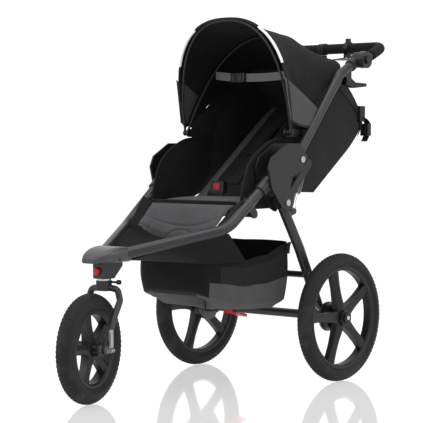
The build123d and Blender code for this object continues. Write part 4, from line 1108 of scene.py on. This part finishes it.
for side, tag in sides:
    line = [Vector((side * cover["pipingX"] / 1000, p.y, p.z)) for p in coverEdge[::4]]
    blackStrap("coverPiping" + tag, line, 6, (0, 0.8, -0.6), "upper_frame", thickness=0.003)
    line = [at(side * 189, y, z) for y, z in cover["strap"]]
    tie, tieLength = blackStrap("coverStrap" + tag, line, 20, (0, 0.6, 0.8), "upper_frame")
    tieBuckle = sideBuckle("coverBuckle" + tag, tuple(at(side * 192, 252, 838)), (0.011, 0.028, 0.05), "upper_frame",
                           "black_plastic", finishes["black_plastic"])
    line = [at(side * x, y, z) for x, y, z in cover["tail"]]
    tail, tailLength = blackStrap("coverTail" + tag, line, 20, (0.9, 0.3, 0), "upper_frame", thickness=0.0024)
    tailBuckle = sideBuckle("coverTailBuckle" + tag, tuple(at(side * 194, 274, 786)), (0.03, 0.02, 0.04), "upper_frame",
                            "black_plastic", finishes["black_plastic"])
print("cover made")

# basket
basket = {
    "stations": (  # y, half width, lowest, rim
        (-466.0, 118.0, 286.0, 394.0), (-440.0, 138.0, 270.0, 391.0), (-330.0, 174.0, 240.0, 389.0),
        (-220.0, 180.0, 235.0, 405.0), (-116.0, 184.0, 234.0, 438.0)),
    "greyShare": 0.5, "frontGrey": 0.88, "frontEdge": -438, "meshShare": (0.16, 0.5), "meshRun": (-400, -130),
    "middle": -300, "floorShare": 0.13,
}


def stationAt(y):
    rows = basket["stations"]
    for (y0, *a), (y1, *b) in zip(rows, rows[1:]):
        if y <= y1 or (y1, *b) == rows[-1]:
            share = max(0.0, min(1.0, (y - y0) / (y1 - y0)))
            share = share * share * (3 - 2 * share) * 0.4 + share * 0.6
            return [p + (q - p) * share for p, q in zip(a, b)]


def tuckAt(level):  # how far the sides come in towards the bottom
    return 0.06 * level ** 3 + (0.14 * ((level - 0.87) / basket["floorShare"]) ** 2 if level > 0.87 else 0)


def basketLoop():  # the basket's plan outline as (x, y)
    front, rear = basket["stations"][0][0], basket["stations"][-1][0]
    right = []
    for i in range(29):
        y = rear + (front - rear) * i / 28
        right.append((stationAt(y)[0], y))
    outline = [(x, rear) for x in (0, 40, 80, 120, 150, 170)] + right[1:-1] + [(x, front) for x in (110, 92, 66, 34, 0)]
    outline += [(-x, y) for x, y in reversed(outline[1:-1])]
    return outline


loop = basketLoop()
levels = [0.0, 0.035, 0.07, 0.14, 0.22, 0.3, 0.38, 0.45, 0.52, 0.56, 0.64, 0.72, 0.8, 0.87, 0.93, 0.97, 1.0]
basketRows = []
for level in levels:
    row = []
    for i, (x, y) in enumerate(loop):
        half, low, high = stationAt(y)
        bottomTuck = tuckAt(level)
        belly = 3.5 * math.sin(math.pi * min(level / 0.9, 1.0))
        belly += 1.6 * wave(i * 0.9 + level * 5, i * 0.37) * math.sin(math.pi * level)
        px = x * (1 - bottomTuck) + math.copysign(belly if abs(x) > 100 else belly * abs(x) / 100, x)
        py = basket["middle"] + (y - basket["middle"]) * (1 - bottomTuck * 0.8)
        drop = 3.0 * wave(i * 0.8, i * 0.31) * (1 - level)
        z = high + (low - high) * level + drop
        if level > 0.87:
            z = low + (high - low) * 0.1 * ((1 - level) / basket["floorShare"]) ** 0.6 * 1.3
        row.append(at(px, py, z))
    basketRows.append(row)
floorRing = basketRows[-1]
for ring in (0.85, 0.65, 0.4, 0.15, 0.02):
    basketRows.append([
        at((p.x * 1000) * ring, basket["middle"] + ((p.y - axleY) * 1000 - basket["middle"]) * ring,
           p.z * 1000 - 5 * (1 - ring)) for p in floorRing])
basketBag = clothSheet("basketBag", basketRows, 0.002, finishes["black_fabric"], loop=True)
dress(basketBag, finishes["black_fabric"], finishes["grey_fabric"], extraFinishes["mesh"])
(meshHigh, meshLow), (meshFront, meshRear) = basket["meshShare"], basket["meshRun"]
for face in basketBag.data.polygons:
    x, y, z = face.center.x * 1000, (face.center.y - axleY) * 1000, face.center.z * 1000
    half, low, high = stationAt(y)
    depth = (high - z) / (high - low)
    untucked = basket["middle"] + (y - basket["middle"]) / (1 - 0.8 * tuckAt(min(max(depth, 0), 1)))
    onFront = untucked < basket["frontEdge"]
    if depth > basket["greyShare"] and not (onFront and depth < basket["frontGrey"]):
        face.material_index = 1
    elif meshHigh < depth < meshLow and meshFront < y < meshRear and abs(x) > 100:
        face.material_index = 2
smooth(basketBag, 50)
settled(basketBag)
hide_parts("basket")
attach(basketBag, "main_frame")
at(0, basket["middle"], 395)
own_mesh(basketBag)
flat, bagArea = flatSize([row + row[:1] for row in basketRows])
basketFront = {
    "top": ((194, -418, 476), (188, -455, 469), (172, -500, 460), (155, -526, 454), (130, -566, 444), (100, -612, 431),
            (72, -640, 420), (36, -650, 408), (0, -654, 402)),
    "rim": ((178, -318, 386), (163, -392, 385), (143, -440, 384), (130, -460, 385), (121, -468, 386), (80, -471, 386),
            (40, -472, 386), (0, -472, 386)),
}
edges = []
for edge in ("top", "rim"):
    half = basketFront[edge]
    edges.append(smoothLine([at(*p) for p in half] + [at(-x, y, z) for x, y, z in reversed(half[:-1])], 70))
lines = ruled(*edges, 12)
for i, row in enumerate(lines):
    for k, p in enumerate(row):
        p.y += 0.004 * wave(i / 2.4, i / 3.9 + k / 4) * math.sin(math.pi * k / 11)
frontCurtain = clothSheet("basketFrontPanel", lines, 0.0018, finishes["black_fabric"])
finishPiece(frontCurtain, "main_frame", "black_fabric")
declareSheet(lines)
for side, tag in sides:
    for name, points, along, held in (
        ("basketFrontStrap", ((192, -452, 478), (176, -450, 456), (150, -448, 424), (126, -447, 386), (122, -448, 340)),
         (0, 1, 0.1), "main_tubes"),
        ("basketRearTab", ((182, -122, 400), (186, -121, 430), (192, -119, 436), (200, -118, 437)),
         (0, 1, 0), "rear_legs"),
    ):
        strap, length = blackStrap(name + tag, [at(side * x, y, z) for x, y, z in points], 18, along, "main_frame")
print("basket made")

# handlebar grip and wrist strap
bar = {"y": 300.0, "z": 1055.0, "half": 242.0, "gripRadius": 0.0168, "joint": (261.6, 172.0, 1008.0), "bend": 42.0}


def gripLine():
    corner, joint = at(bar["half"], bar["y"], bar["z"]), at(*bar["joint"])
    down = (corner - joint).normalized()
    last = joint + down * 0.0435
    first = at(0, bar["y"], bar["z"])
    cut = bar["bend"] / 1000 * math.tan((math.pi - (first - corner).angle(last - corner)) / 2)
    entry, leave = corner + (first - corner).normalized() * cut, corner + (last - corner).normalized() * cut
    line = [last.lerp(leave, i / 12) for i in range(12)]
    for i in range(13):
        t = i / 12
        line.append(leave * (1 - t) ** 2 + corner * 2 * t * (1 - t) + entry * t * t)
    line += [entry.lerp(first, i / 12) for i in range(1, 13)]
    return line + [Vector((-p.x, p.y, p.z)) for p in reversed(line[:-1])]


grip = tubeOver("gripSleeve", gripLine(), bar["gripRadius"])
dress(grip, finishes["grip_foam"])
finishPiece(grip, "handlebar", "grip_foam", "foam_grip")

wrist = {
    "width": 25.0, "round": 18.6,
    "loop": ((3.0, 20), (5.5, 60), (7, 130), (6, 172), (0, 184), (-6, 172), (-7, 130), (-5.5, 60), (-3.0, 20)),
}
wristPoints = [at(0, bar["y"] + away, bar["z"] - drop) for away, drop in wrist["loop"]]
wristStrap, length = blackStrap("wristStrap", wristPoints, wrist["width"], (1, 0, 0), "handlebar", "wrist_strap",
                                count=70)
ringTurns = [math.radians(angle) for angle in range(-170, 191, 15)]
ringPoints = [at(0, bar["y"] + wrist["round"] * math.sin(turn), bar["z"] - wrist["round"] * math.cos(turn))
              for turn in ringTurns]
wristRing, _ = blackStrap("wristStrapBand", ringPoints, wrist["width"], (1, 0, 0), "handlebar", count=60)
print("handlebar made")
